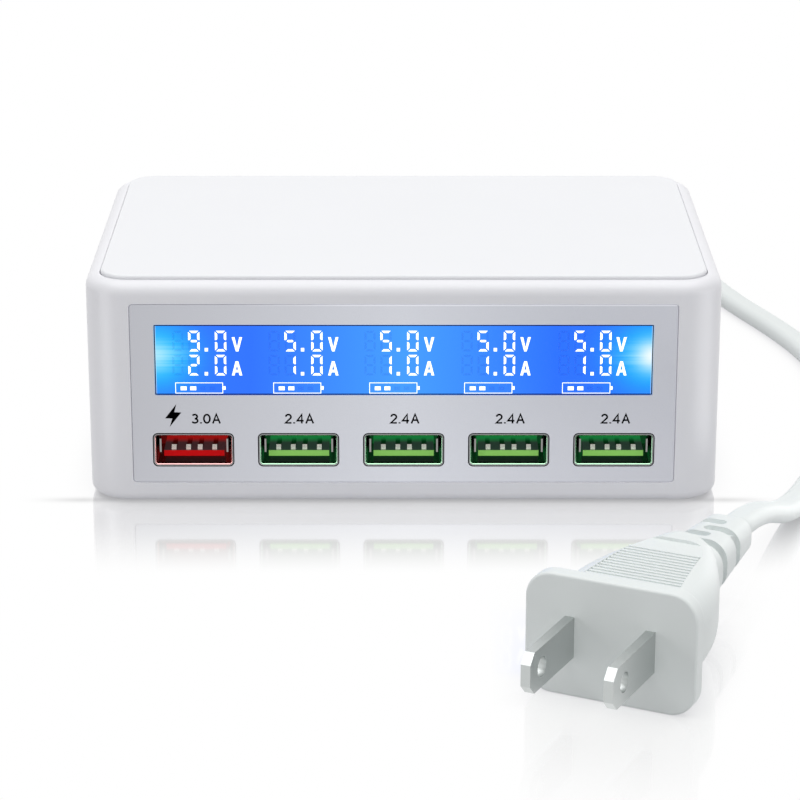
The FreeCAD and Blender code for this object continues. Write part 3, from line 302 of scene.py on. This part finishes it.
def case_material():
    """White plastic, with painted light on the walls of the recess around the panel, so that the seam
    isn't black.
    """
    made = moulded_shader("case_plastic", linear(243, 243, 247), 0.36, depth=0.000006)
    # Painted light: the recess walls around the panel give off a little light, standing in for light
    # that falls into the seam
    painted_seam_light = made.product(
        made.within(made.axis("X"), (-PANEL_SEAM, PANEL_SEAM)),
        made.within(made.axis("Y"), SEAM_DEPTHS), made.within(made.axis("Z"), SEAM_HEIGHTS),
    )
    made.set("Emission Color", linear(214, 214, 220))
    made.set("Emission Strength", made.product(painted_seam_light, SEAM_PAINTED_LIGHT))
    return made.material


def panel_material():
    """Satin silver, with painted shade that makes it darker at the ends than in the middle, more at the
    left end, and a painted highlight along its upper edge.
    """
    made = Shader("panel_silver", linear(214, 215, 221), 0.42, 1.0)
    x = made.axis("X")
    # Painted shade: the base colour darkens from the middle towards each end, the left end more than
    # the right
    aside = made.math("DIVIDE", made.math("ABSOLUTE", x), PANEL_PAINTED_SHADE_FADE, clamp=True)
    right = made.math("GREATER_THAN", x, 0.0)
    end = made.mix(right, linear(184, 185, 191), linear(195, 196, 203))
    tone = made.mix(aside, linear(209, 211, 218), end)
    fine = made.noise(5200.0, 3.0)
    made.set("Base Color", made.mix(made.product(fine, 0.16), tone, linear(176, 178, 186)))
    # Painted highlight: a thin band along the panel's upper edge gives off white light, fading in from
    # the left
    upper = made.math("GREATER_THAN", made.axis("Z"), PANEL_TOP - PANEL_EDGE)
    painted_highlight_towards_right = made.rise(x, PANEL_EDGE_START, PANEL_EDGE_RISE)
    made.set("Emission Color", linear(255, 255, 255))
    made.set("Emission Strength", made.product(upper, painted_highlight_towards_right, PANEL_EDGE_PAINTED_HIGHLIGHT))
    made.vary(fine, 0.34, 0.5)
    made.bump(fine, 0.00001)
    return made.material


def painted_back_light(made, depth):
    """Rises from nought to one towards the back of a socket: the share of painted light given there."""
    return made.rise(depth, PAINTED_BACK_LIGHT_START, PAINTED_BACK_LIGHT_RISE)


def tongue_material(name, colour, dark, painted_light_colour):
    """A socket's insulator: painted light on the tongue's front, painted shade along it and inside, and
    coloured painted light at the back.
    """
    made = Shader(name, colour, 0.4, Specular_IOR_Level=0.12)
    depth = made.math("SUBTRACT", made.axis("Y"), TONGUE_FRONT)
    inside = made.math("DIVIDE", depth, TONGUE_EDGE, clamp=True)
    back = painted_back_light(made, depth)
    # Painted shade: behind the tongue's front face the base colour turns to the dark shade colour
    made.set("Base Color", made.mix(inside, colour, dark))
    # Painted light: the insulator gives off light in its own colour at the tongue's front, in the shade
    # colour along it, and in a coloured light towards the back, most in the middle of each socket
    made.set("Emission Color", made.mix(inside, colour, made.mix(back, dark, painted_light_colour)))
    steps = made.math("DIVIDE", made.axis("X"), PORT_PITCH)
    aside = made.math("ABSOLUTE", made.math("SUBTRACT", steps, made.math("ROUND", steps)))
    middle = made.math("SUBTRACT", 1.0, made.math("GREATER_THAN", aside, TONGUE_HALF_PAINTED_LIGHT / PORT_PITCH))
    deep_painted_light = made.product(back, made.math("MULTIPLY_ADD", middle, TONGUE_MIDDLE_LIGHT, TONGUE_BACK_LIGHT))
    front = made.product(made.math("SUBTRACT", 1.0, inside), TONGUE_FRONT_LIGHT)
    between = made.product(made.math("SUBTRACT", inside, back, clamp=True), TONGUE_INNER_LIGHT)
    made.set("Emission Strength", made.math("ADD", made.math("ADD", deep_painted_light, front), between))
    made.bump(made.noise(1800.0), 0.000006)
    return made.material


def sleeve_material(name, painted_reflection, dark):
    """A socket's plated sleeve: grey at its edge, then a thin line of painted shade, a painted
    reflection of the insulator's colour in the mouth, painted shade deeper in, and plain grey metal
    farther back.
    """
    made = Shader(name, linear(150, 150, 152), 0.25, 1.0)
    depth = made.math("SUBTRACT", made.axis("Y"), PANEL_FRONT)
    # Painted shade and a painted coloured reflection, set in the base colour by depth into the socket
    tone = made.mix(made.math("GREATER_THAN", depth, SLEEVE_EDGE), linear(158, 158, 160), dark)
    tone = made.mix(made.math("GREATER_THAN", depth, SLEEVE_MOUTH), tone, painted_reflection)
    tone = made.mix(made.rise(depth, SLEEVE_SHADE_START, SLEEVE_SHADE_RISE), tone, dark)
    tone = made.mix(made.math("GREATER_THAN", depth, SLEEVE_BARREL), tone, linear(150, 148, 146))
    made.set("Base Color", tone)
    made.bump(made.noise(2200.0, 3.0), 0.000003)
    return made.material


def contact_material(name, painted_light_colour):
    """Plated spring: a painted highlight on the bow near its tip, painted shade behind it, and coloured
    painted light at the back.
    """
    made = Shader(name, linear(205, 204, 200), 0.3, 1.0)
    depth = made.math("SUBTRACT", made.axis("Y"), TONGUE_FRONT)
    # Painted highlight on the bow and painted shade behind it: bright base colour and white emission at
    # the bow, dark base colour farther back
    painted_highlight_bow = made.math("LESS_THAN", depth, CONTACT_BOW)
    made.set("Base Color", made.mix(painted_highlight_bow, linear(70, 70, 68), linear(214, 212, 206)))
    made.set("Emission Color", made.mix(painted_highlight_bow, painted_light_colour, linear(226, 224, 216)))
    # Painted light in the insulator's colour towards the back of the socket
    back = made.product(painted_back_light(made, depth), CONTACT_BACK_LIGHT)
    made.set("Emission Strength", made.math("MULTIPLY_ADD", painted_highlight_bow, BOW_PAINTED_HIGHLIGHT, back))
    return made.material


# Colours of the painted shade and the painted light inside the red and the green sockets
RED_PAINTED_SHADE, RED_PAINTED_LIGHT = linear(66, 50, 52), linear(190, 24, 22)
GREEN_PAINTED_SHADE, GREEN_PAINTED_LIGHT = linear(52, 66, 60), linear(30, 150, 72)
materials = {
    "case": case_material(),
    "lid": moulded("lid_plastic", linear(246, 247, 250), 0.42, grain=2600.0, depth=0.000012),
    "panel": panel_material(),
    "rubber": moulded("foot_rubber", linear(42, 42, 44), 0.75, depth=0.00003),
    "steel": metal("screw_steel", linear(175, 176, 180), 0.35),
    "nickel": metal("nickel_plate", linear(205, 206, 206), 0.22, grain=2200.0, depth=0.000003),
    "display": display_material(),
    "light_guide": moulded("light_guide", linear(190, 220, 250), 0.2),
    "white_plastic": moulded("tray_plastic", linear(232, 232, 232), 0.5),
    "white_plastic_soft": moulded(
        "cord_plastic", linear(239, 244, 243), 0.45, grain=900.0, depth=0.000012,
    ),
    "board": moulded("board_green", linear(24, 92, 52), 0.35, drift=0.2),
    "ribbon": moulded("ribbon_grey", linear(196, 196, 198), 0.5),
    "socket_plastic": moulded("socket_natural", linear(226, 220, 200), 0.5),
    "black_plastic": moulded("black_plastic", linear(34, 34, 36), 0.5),
    "ferrite": moulded("ferrite", linear(62, 62, 66), 0.65, grain=700.0, depth=0.00003),
    "tape": moulded("winding_tape", linear(224, 184, 52), 0.35),
    "copper": metal("enamelled_wire", linear(190, 108, 58), 0.3, grain=300.0, depth=0.00002),
    "core_yellow": moulded("painted_core", linear(214, 190, 80), 0.5),
    "can_sleeve": moulded("can_sleeve", linear(36, 42, 66), 0.3),
    "fuse_glass": moulded("fuse_ceramic", linear(226, 225, 218), 0.35),
    "film_yellow": moulded("film_case", linear(226, 188, 60), 0.4),
    "disc_blue": moulded("disc_dip", linear(50, 96, 170), 0.4),
    "aluminium": metal("sink_aluminium", linear(200, 202, 206), 0.4, stretch=(1, 1, 0.05)),
    "tongue_red": tongue_material("tongue_red", linear(205, 0, 6), RED_PAINTED_SHADE, RED_PAINTED_LIGHT),
    "tongue_green": tongue_material("tongue_green", linear(148, 212, 104), GREEN_PAINTED_SHADE, GREEN_PAINTED_LIGHT),
}
# Each sleeve's mouth colour is a painted reflection of its insulator, and its dark colour is painted
# shade
red_sleeve = sleeve_material("sleeve_red", linear(238, 184, 180), linear(74, 44, 44))
green_sleeve = sleeve_material("sleeve_green", linear(184, 228, 194), linear(44, 70, 54))
red_contact = contact_material("contact_red", RED_PAINTED_LIGHT)
green_contact = contact_material("contact_green", GREEN_PAINTED_LIGHT)
own_materials = {
    "plug_blades": metal("blade_plate", linear(194, 198, 197), 0.34, grain=2200.0, depth=0.000003),
    "usb_shell_1": red_sleeve, "usb_contacts_1": red_contact,
}
for number in range(2, 6):
    own_materials[f"usb_shell_{number}"] = green_sleeve
    own_materials[f"usb_contacts_{number}"] = green_contact

for part in frame["record"]["subparts"]:
    for slot in nodes[part["node"]].material_slots:
        slot.material = own_materials.get(part["node"], materials[part["material_slot"]])


# Mesh helpers

def add_mesh(name, verts, faces, material, smooth=False):
    """A new piece on the case, from points in millimetres."""
    mesh = bpy.data.meshes.new(name)
    mesh.from_pydata([tuple(c * MM for c in v) for v in verts], [], faces)
    mesh.validate()
    if smooth:
        mesh.shade_smooth()
    piece = bpy.data.objects.new(name, mesh)
    bpy.context.collection.objects.link(piece)
    piece.data.materials.append(material)
    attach(piece, "root")
    return piece


class Print:
    """Thin print on an upright plane: outlines in X and Z, raised a little towards the front."""

    def __init__(self, name, y, material, record_slot, thick=0.02):
        self.name, self.y, self.thick = name, y, thick
        self.material, self.record_slot = material, record_slot
        self.verts, self.faces = [], []

    def outline(self, points):
        """One closed outline, anticlockwise as seen from the front."""
        first = len(self.verts)
        count = len(points)
        self.verts += [(x, self.y - self.thick, z) for x, z in points]
        self.verts += [(x, self.y, z) for x, z in points]
        self.faces.append([first + i for i in range(count)])
        for i in range(count):
            j = (i + 1) % count
            self.faces.append([first + i, first + count + i, first + count + j, first + j])

    def bar(self, x0, z0, x1, z1):
        self.outline([(x0, z0), (x1, z0), (x1, z1), (x0, z1)])

    def border(self, left, low, right, high, line):
        """Four bars around a field."""
        self.bar(left, low, right, low + line)
        self.bar(left, high - line, right, high)
        self.bar(left, low + line, left + line, high - line)
        self.bar(right - line, low + line, right, high - line)

    def shape(self, points, left, low, width, height):
        """An outline given in a unit box, fitted into a field."""
        self.outline([(left + x * width, low + z * height) for x, z in points])

    def finish(self):
        return add_mesh(self.name, self.verts, self.faces, self.material)


# Display figures, placed by pixels of an 800 pixel view of the front

ACROSS, UPWARD = 5.88, 5.603
VIEW_MIDDLE = 403.7
VIEW_ROW = 341
NARROWING = 0.0001
PANEL_LOW_ROW, PANEL_LOW = 483.7, 3.91

FIGURE_LEFT = 188.4
FIGURE_SHIFTS = [0.0, 96.2, 192.0, 289.0, 385.8]
FIGURE_SQUEEZE = [1.0, 1.0, 1.0, 0.985, 0.965]
FIGURE_ROWS = (351.4, 375.5)
FIGURE_STEPS = (0.0, 26.7)
FIGURE_SIZE = (11.3, 20.6)
FIGURE_LINE, FIGURE_GAP = 2.35, 1.05
POINT_STEP, POINT_SIZE = 16.3, (3.3, 3.4)
UNIT_STEP, UNIT_SIZE = 43.5, (10.4, 14.2)
UNLIT_STEPS = (-16.0, 0.0)
READINGS = [("90", "20"), ("50", "10"), ("50", "10"), ("50", "10"), ("50", "10")]

GAUGE_SHIFTS = [0.0, 98.1, 194.2, 289.2, 387.2]
GAUGE_TOP_LEFT, GAUGE_LOW_RIGHT = (175.1, 382.7), (223.1, 393.6)
GAUGE_LINE = 0.62
GAUGE_NUB = (225.5, 386.4)
GAUGE_BARS, GAUGE_LIT = (180.6, 190.2, 199.8, 209.4), 2
GAUGE_BAR_ROW, GAUGE_BAR_SIZE = 390.4, (6.0, 3.8)

SEGMENTS = {
    "0": "abcdef", "1": "bc", "2": "abged", "5": "afgcd", "9": "abcdfg", "8": "abcdefg",
}


def at_pixel(x, y):
    """A place on the front face, X and Z in millimetres, from its place in the view."""
    nearness = 1 - (y - VIEW_ROW) * NARROWING
    return (x - VIEW_MIDDLE) / (ACROSS * nearness), PANEL_LOW + (PANEL_LOW_ROW - y) / UPWARD


def digit(sheet, figure, left, low):
    """A seven-segment figure whose bars are mitred at the corners, with a gap at each mitre."""
    line, gap = FIGURE_LINE / ACROSS, FIGURE_GAP / ACROSS
    right, height = left + FIGURE_SIZE[0] / ACROSS, FIGURE_SIZE[1] / UPWARD
    high, middle = low + height, low + height / 2
    half = line / 2

    def level(z, towards):
        inner = z + towards * line
        points = [
            (left + gap, z), (right - gap, z),
            (right - line - gap, inner), (left + line + gap, inner),
        ]
        sheet.outline(points[::-towards])

    def upright(x, inward, end, towards):
        """From the middle to one end, with its outer side at x."""
        inner = x + inward * line
        points = [
            (x, middle + towards * gap), (x + inward * half, middle + towards * gap),
            (inner, middle + towards * (half + gap)), (inner, end - towards * (line + gap)),
            (x, end - towards * gap),
        ]
        sheet.outline(points[::inward * towards])

    def centre():
        a, b = left + half + gap, right - half - gap
        sheet.outline([
            (a, middle), (a + half, middle - half), (b - half, middle - half),
            (b, middle), (b - half, middle + half), (a + half, middle + half),
        ])

    draw = {
        "a": lambda: level(high, -1), "d": lambda: level(low, 1), "g": centre,
        "f": lambda: upright(left, 1, high, 1), "b": lambda: upright(right, -1, high, 1),
        "e": lambda: upright(left, 1, low, -1), "c": lambda: upright(right, -1, low, -1),
    }
    for key in SEGMENTS[figure]:
        draw[key]()


# The two units as outlines in a unit box
UNIT_V = [[(0, 1), (0.38, 0), (0.62, 0), (1, 1), (0.73, 1), (0.5, 0.27), (0.27, 1)]]
UNIT_A = [
    [(0, 0), (0.26, 0), (0.5, 0.76), (0.5, 1), (0.37, 1)],
    [(1, 0), (0.63, 1), (0.5, 1), (0.5, 0.76), (0.74, 0)],
    [(0.33, 0.22), (0.67, 0.22), (0.61, 0.4), (0.39, 0.4)],
]


def display_figures():
    """A voltage, a current and a charge gauge for each socket, with the unlit figures faint."""
    white = glow("figure_white", linear(250, 254, 255), 1.0)
    film = Shader("figure_unlit", linear(16, 60, 170), 0.5, Alpha=0.14).material
    lit = Print("display_figures", GLASS_FRONT, white, "display")
    faint = Print("display_unlit", GLASS_FRONT, film, "display", thick=0.01)
    for shift, squeeze, readings in zip(FIGURE_SHIFTS, FIGURE_SQUEEZE, READINGS):
        first = FIGURE_LEFT + shift
        for reading, unit, row in zip(readings, (UNIT_V, UNIT_A), FIGURE_ROWS):
            low = at_pixel(0, row)[1]
            for figure, step in zip(reading, FIGURE_STEPS):
                digit(lit, figure, at_pixel(first + step * squeeze, row)[0], low)
            point = at_pixel(first + POINT_STEP, row)[0]
            lit.bar(point, low, point + POINT_SIZE[0] / ACROSS, low + POINT_SIZE[1] / UPWARD)
            left = at_pixel(first + UNIT_STEP * squeeze, row)[0]
            for points in unit:
                lit.shape(points, left, low, UNIT_SIZE[0] / ACROSS, UNIT_SIZE[1] / UPWARD)
            for step in UNLIT_STEPS:
                digit(faint, "8", at_pixel(first + step, row)[0], low)
    for shift in GAUGE_SHIFTS:
        gauge(lit, faint, shift)
    lit.finish()
    faint.finish()
    display_rim()


def gauge(lit, faint, shift):
    """The outline of a battery with two of its four bars filled."""
    left, high = at_pixel(GAUGE_TOP_LEFT[0] + shift, GAUGE_TOP_LEFT[1])
    right, low = at_pixel(GAUGE_LOW_RIGHT[0] + shift, GAUGE_LOW_RIGHT[1])
    lit.border(left, low, right, high, GAUGE_LINE / ACROSS)
    nub, top = at_pixel(GAUGE_NUB[0] + shift, GAUGE_NUB[1])
    lit.bar(right, low + high - top, nub, top)
    width, height = GAUGE_BAR_SIZE[0] / ACROSS, GAUGE_BAR_SIZE[1] / UPWARD
    for i, x in enumerate(GAUGE_BARS):
        start, bottom = at_pixel(x + shift, GAUGE_BAR_ROW)
        sheet = lit if i < GAUGE_LIT else faint
        sheet.bar(start, bottom, start + width, bottom + height)


def display_rim():
    """The dark line around the lit cell."""
    dark = moulded("rim_dark", linear(20, 32, 62), 0.5, Specular_IOR_Level=0.1)
    rim = Print("display_rim", GLASS_FRONT, dark, "display", thick=0.015)
    low, high = LCD_MIDDLE - LCD_HALF_HEIGHT, LCD_MIDDLE + LCD_HALF_HEIGHT
    rim.border(-LCD_HALF_WIDTH, low, LCD_HALF_WIDTH, high, LCD_RIM)
    rim.finish()


# Print on the panel

def arc(x, z, across, high, start, end, steps=10):
    """Points on part of an ellipse about (x, z), from one angle to another in degrees."""
    angles = [math.radians(start + (end - start) * i / steps) for i in range(steps + 1)]
    return [(x + across * math.cos(a), z + high * math.sin(a)) for a in angles]


# Each sign as strokes in a box one unit high, with its width
SIGNS = {
    "0": (0.70, [arc(0.35, 0.5, 0.30, 0.44, 90, 450, 20)]),
    "2": (0.66, [arc(0.34, 0.69, 0.26, 0.25, 175, -35) + [(0.05, 0.06), (0.64, 0.06)]]),
    "3": (0.68, [arc(0.33, 0.72, 0.25, 0.22, 150, -90), arc(0.33, 0.28, 0.29, 0.22, 90, -155)]),
    "4": (0.70, [[(0.51, 0.0), (0.51, 0.95), (0.05, 0.29), (0.70, 0.29)]]),
    "A": (0.82, [[(0.05, 0.0), (0.41, 0.97), (0.77, 0.0)], [(0.18, 0.35), (0.64, 0.35)]]),
    ".": (0.13, [[(0.065, 0.0), (0.065, 0.12)]]),
}
SIGN_LINE = 0.175
SIGN_GAP = 0.19
POINT_WEIGHT = 1.15

# Places in pixels of the view, apart from the shift in millimetres
RATINGS = ["3.0A", "2.4A", "2.4A", "2.4A", "2.4A"]
RATING_ROW, RATING_HEIGHT = 423.8, 9.6
FIRST_RATING = (206.0, 424.0)
RATING_SHIFT = 0.19
FLASH = [(176.2, 404.2), (165.0, 418.6), (172.2, 418.8), (169.7, 427.2), (181.2, 412.7), (174.2, 412.4)]


def stroke(sheet, points, line):
    """A line of even thickness through the points, mitred where it turns."""
    corners = []
    for i, point in enumerate(points):
        here = Vector(point)
        before = (here - Vector(points[i - 1])).normalized() if i else None
        after = (Vector(points[i + 1]) - here).normalized() if i + 1 < len(points) else None
        along = ((before or after) + (after or before)).normalized()
        side = Vector((-along.y, along.x))
        straight = Vector((-(before or after).y, (before or after).x))
        half = line / 2 / max(side.dot(straight), 0.5)
        corners.append((here - side * half, here + side * half))
    for (a, b), (c, d) in zip(corners[:-1], corners[1:]):
        sheet.outline([tuple(a), tuple(c), tuple(d), tuple(b)])


def panel_words(sheet, words, middle, low, height):
    """A short rating in plain signs of even line."""
    total = sum(SIGNS[sign][0] for sign in words) + SIGN_GAP * (len(words) - 1)
    x = middle - total * height / 2
    for sign in words:
        width, strokes = SIGNS[sign]
        line = SIGN_LINE * height * (POINT_WEIGHT if sign == "." else 1.0)
        for points in strokes:
            stroke(sheet, [(x + a * height, low + b * height) for a, b in points], line)
        x += (width + SIGN_GAP) * height


def panel_print():
    """A rating over each socket, and a sign for the fast one."""
    ink = moulded("panel_ink", linear(3, 3, 4), 0.8, drift=0.1, Specular_IOR_Level=0.0)
    sheet = Print("panel_print", PANEL_FRONT, ink, "black_plastic")
    middles = [at_pixel(*FIRST_RATING)[0]] + [PORT_PITCH * i + RATING_SHIFT for i in (-1, 0, 1, 2)]
    low = at_pixel(0, RATING_ROW)[1]
    for middle, words in zip(middles, RATINGS):
        panel_words(sheet, words, middle, low, RATING_HEIGHT / UPWARD)
    sheet.outline([at_pixel(x, y) for x, y in FLASH])
    sheet.finish()


# Mains cord, in millimetres

COIL = Vector((24.0, 118.0, 0.0))
LEAD = [
    (-24.0, 73.0, 13.15), (-24.0, 84.0, 13.15), (-22.8, 95.0, 9.15), (-19.6, 105.0, 4.3),
    (-16.3, 113.0, 2.1), (-15.0, 120.0, 1.8),
]
RUN = [
    (63.0, 118.0, 1.7), (63.4, 105.0, 1.7), (65.6, 91.0, 1.7), (70.0, 76.0, 1.7), (75.6, 61.0, 1.7),
    (80.2, 45.0, 1.7), (82.6, 28.0, 1.7), (82.0, 11.0, 1.7), (79.0, -6.0, 1.7), (74.6, -22.0, 1.7),
    (69.4, -37.0, 1.7), (63.8, -51.0, 3.3), (57.0, -65.45, 9.5), (51.73, -76.24, 9.5),
]


def coil_points():
    """The wound turns: three on the floor from the outside in, then two and a half on top, back out."""
    per_turn, total_turns = 20, 5.5
    lower, upper = 2.3, 5.9
    outer, pitch = 33.9, 5.27
    inward_turns, outward_from = 2.0, 3.1
    climb_from, climb_turns = 2.55, 0.5
    waves = ((0.25, 5.3, 0.0), (0.2, 11.7, 1.0))
    points = []
    for i in range(2, int(total_turns * per_turn) - 1):
        turns = i / per_turn
        if turns < inward_turns:
            radius = outer - pitch * turns
        elif turns < outward_from:
            radius = outer - pitch * inward_turns
        else:
            radius = min(outer, outer - pitch * inward_turns + pitch * (turns - outward_from))
        climb = min(max((turns - climb_from) / climb_turns, 0.0), 1.0)
        climb = climb * climb * (3 - 2 * climb)
        angle = math.pi - 2 * math.pi * turns
        wobble = sum(size * math.sin(rate * turns + start) for size, rate, start in waves)
        points.append((
            COIL.x + (radius + wobble) * math.cos(angle),
            COIL.y + (radius + wobble) * math.sin(angle),
            lower + (upper - lower) * climb,
        ))
    return points


def cord_centre_line(points):
    """Points read from one smooth spline over the route."""
    curve = bpy.data.curves.new("cord_route", "CURVE")
    curve.dimensions = "3D"
    curve.resolution_u = 5
    spline = curve.splines.new("NURBS")
    spline.points.add(len(points) - 1)
    for point, place in zip(spline.points, points):
        point.co = (*(c * MM for c in place), 1.0)
    spline.order_u = 3
    spline.use_endpoint_u = True
    holder = bpy.data.objects.new("cord_route", curve)
    bpy.context.collection.objects.link(holder)
    bpy.context.view_layer.update()
    mesh = bpy.data.meshes.new_from_object(holder.evaluated_get(bpy.context.evaluated_depsgraph_get()))
    line = [v.co.copy() for v in mesh.vertices]
    bpy.data.objects.remove(holder)
    bpy.data.meshes.remove(mesh)
    return line


def cord_section():
    """The flat cord's outline: two round sides, and a shallow groove along each flat face."""
    half_width, half_thick = CORD_WIDTH / 2, CORD_THICKNESS / 2
    straight = half_width - half_thick
    steps, groove = 8, 0.86
    outline = []
    for side in (1, -1):
        for i in range(steps + 1):
            angle = -math.pi / 2 + math.pi * i / steps
            x = side * (straight + half_thick * math.cos(angle))
            outline.append((x, side * half_thick * math.sin(angle)))
        outline.append((0.0, side * half_thick * groove))
    return outline


def mains_cord():
    """The whole cord in one piece, from the connector through the coil to the plug."""
    line = cord_centre_line(LEAD + coil_points() + RUN)
    outline = cord_section()
    count = len(outline)
    verts, faces = [], []
    for i, place in enumerate(line):
        ahead = line[min(i + 1, len(line) - 1)] - line[max(i - 1, 0)]
        ahead.normalize()
        side = ahead.cross(Vector((0, 0, 1))).normalized()
        up = side.cross(ahead).normalized()
        for x, y in outline:
            verts.append(tuple((place + side * (x * MM) + up * (y * MM)) / MM))
    for i in range(len(line) - 1):
        for j in range(count):
            k = (j + 1) % count
            a, b = i * count, (i + 1) * count
            faces.append([a + j, a + k, b + k, b + j])
    faces.append(list(range(count))[::-1])
    faces.append([(len(line) - 1) * count + j for j in range(count)])
    plastic = "white_plastic_soft"
    cord = add_mesh("mains_cord", verts, faces, materials[plastic], smooth=True)
    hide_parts("cord_lead", "cord_coil", "cord_run")


# Stage, light and camera

# In metres
FLOOR = [(-4, -3, 0), (4, -3, 0), (4, 6, 0), (-4, 6, 0)]
CONTACT_REACH = 0.009
GLEAM_PLACE, GLEAM_AIM = 0.014, 0.02
GLEAM_HEIGHT = 0.05

# Places on the floor, in millimetres
SHADOW_LINE, SHADOW_BLUR = -35.2, 1.2
SHADOW_START, SHADOW_RISE, SHADOW_END = 49.0, 20 / 3, 60.5
MIRROR_FULL, MIRROR_END = 5.0, 34.0
PLUG_PLACE, PLUG_REACH = (33.0, -121.0), 27.0
PLUG_START, PLUG_RISE = 13.0, 6.0

# Shares
SKY_LIGHT = 0.30
SHADOW_DARK, SHADOW_FALL = 0.52, 16.0
MIRROR_MOST, MIRROR_AT_CASE = 0.56, 0.7
MIRROR_AT_PLUG = 0.22
GLEAM_TURN = 0.615

# The camera, in millimetres and degrees
CAMERA_PLACE = (-0.63, -526.3, 182.6)
CAMERA_DOWN = 18.5
CAMERA_LENS, CAMERA_SENSOR = 135.7, 36.0


def camera_like_rays(made):
    """One for rays that show the background: from the camera, mirrors and glass."""
    path = made.new("ShaderNodeLightPath").outputs
    first = made.math("MAXIMUM", path["Is Camera Ray"], path["Is Glossy Ray"])
    return made.math("MAXIMUM", first, path["Is Transmission Ray"])


def beside_shadow(made):
    """The light left in a thin soft shadow that runs on beside the case, level with its front."""
    aside = made.math("ABSOLUTE", made.axis("X"))
    dark = made.product(
        made.bell(made.axis("Y"), SHADOW_LINE, SHADOW_BLUR),
        made.bell(aside, 0.0, SHADOW_END, SHADOW_FALL),
        made.rise(aside, SHADOW_START, SHADOW_RISE), SHADOW_DARK,
    )
    return made.math("SUBTRACT", 1.0, dark)


def mirror_share(made):
    """How much the floor mirrors: most close in front of the case, a little around the plug."""
    x, y = made.axis("X"), made.axis("Y")
    far = made.math("ABSOLUTE", made.math("SUBTRACT", y, FRONT))
    by_case = made.product(
        made.ramp(far, MIRROR_FULL, MIRROR_END, MIRROR_MOST, 0.0, "SMOOTHSTEP"),
        made.ramp(far, 0.0, MIRROR_FULL, MIRROR_AT_CASE, 1.0),
    )
    by_plug = made.product(
        made.bell(x, PLUG_PLACE[0], PLUG_REACH), made.bell(y, PLUG_PLACE[1], PLUG_REACH),
        made.rise(x, PLUG_START, PLUG_RISE), MIRROR_AT_PLUG,
    )
    return made.math("MAXIMUM", by_case, by_plug)


def floor_material():
    """White with a contact shadow and a mirror image where it is seen, and matt to all other rays."""
    material = bpy.data.materials.new("floor_white")
    material.use_nodes = True
    material.cycles.emission_sampling = "NONE"
    made = Nodes(material.node_tree)
    made.tree.nodes.clear()
    open_share = made.new("ShaderNodeAmbientOcclusion", Distance=CONTACT_REACH, samples=8)
    shade = made.new("ShaderNodeValToRGB")
    dark, light = shade.color_ramp.elements
    dark.position, dark.color = 0.05, (0.74, 0.74, 0.76, 1)
    light.position, light.color = 0.8, (1, 1, 1, 1)
    made.link(open_share.outputs["AO"], shade.inputs["Fac"])
    lit = made.new("ShaderNodeEmission")
    made.link(shade.outputs["Color"], lit.inputs["Color"])
    made.link(beside_shadow(made), lit.inputs["Strength"])
    mirror = made.new("ShaderNodeBsdfGlossy", Color=(1, 1, 1, 1), Roughness=0.07)
    matt = made.new("ShaderNodeBsdfDiffuse", Color=(0.62, 0.62, 0.63, 1))
    shown = made.blend(mirror_share(made), lit, mirror)
    both = made.blend(camera_like_rays(made), matt, shown)
    out = made.new("ShaderNodeOutputMaterial")
    made.link(both.outputs[0], out.inputs["Surface"])
    return material


def floor():
    mesh = bpy.data.meshes.new("floor")
    mesh.from_pydata(FLOOR, [], [[0, 1, 2, 3]])
    mesh.materials.append(floor_material())
    piece = bpy.data.objects.new("floor", mesh)
    bpy.context.collection.objects.link(piece)


def world():
    """White to the camera, mirrors and glass, and a dim even light to the rest."""
    sky = bpy.data.worlds.new("studio")
    bpy.context.scene.world = sky
    sky.use_nodes = True
    made = Nodes(sky.node_tree)
    background = made.tree.nodes["Background"]
    background.inputs["Color"].default_value = (1, 1, 1, 1)
    level = made.ramp(camera_like_rays(made), 0.0, 1.0, SKY_LIGHT, 1.0)
    made.link(level, background.inputs["Strength"])


def lamp(name, place, aim, size, power):
    """An area lamp aimed at a point, in metres and watts."""
    data = bpy.data.lights.new(name, "AREA")
    data.shape = "RECTANGLE"
    data.size, data.size_y = size
    data.energy = power
    made = bpy.data.objects.new(name, data)
    bpy.context.collection.objects.link(made)
    made.location = place
    made.rotation_euler = (Vector(aim) - Vector(place)).to_track_quat("-Z", "Y").to_euler()
    return made


def gleam(name, x, y, width, power):
    """A small card seen only in gloss, for the soft highlight on a front corner."""
    aim = (x * GLEAM_TURN, y, GLEAM_AIM)
    made = lamp(name, (x, y, GLEAM_PLACE), aim, (width, GLEAM_HEIGHT), power)
    made.visible_camera = False
    made.visible_diffuse = False
    made.visible_transmission = False


def camera():
    data = bpy.data.cameras.new("camera")
    data.sensor_width = CAMERA_SENSOR
    data.lens = CAMERA_LENS
    data.clip_start = 0.01
    made = bpy.data.objects.new("camera", data)
    bpy.context.collection.objects.link(made)
    made.location = [c * MM for c in CAMERA_PLACE]
    made.rotation_euler = (math.radians(90 - CAMERA_DOWN), 0, 0)
    bpy.context.scene.camera = made


display_figures()
panel_print()
mains_cord()
floor()
world()
lamp("overhead", (0.0, -0.05, 0.9), (0, 0, 0), (1.2, 1.2), 7.5)
lamp("front", (0.0, -0.95, 0.5), (0, 0, 0.02), (0.9, 0.5), 0.25)
lamp("left_side", (-0.72, -0.42, 0.2), (0, 0, 0.02), (0.25, 0.36), 0.68)
lamp("right_side", (0.72, -0.42, 0.2), (0, 0, 0.02), (0.25, 0.36), 0.68)
gleam("left_gleam", -0.078, -0.052, 0.022, 0.006)
gleam("right_gleam", 0.078, -0.0445, 0.03, 0.0094)
camera()

bpy.context.scene.view_settings.view_transform = "Standard"
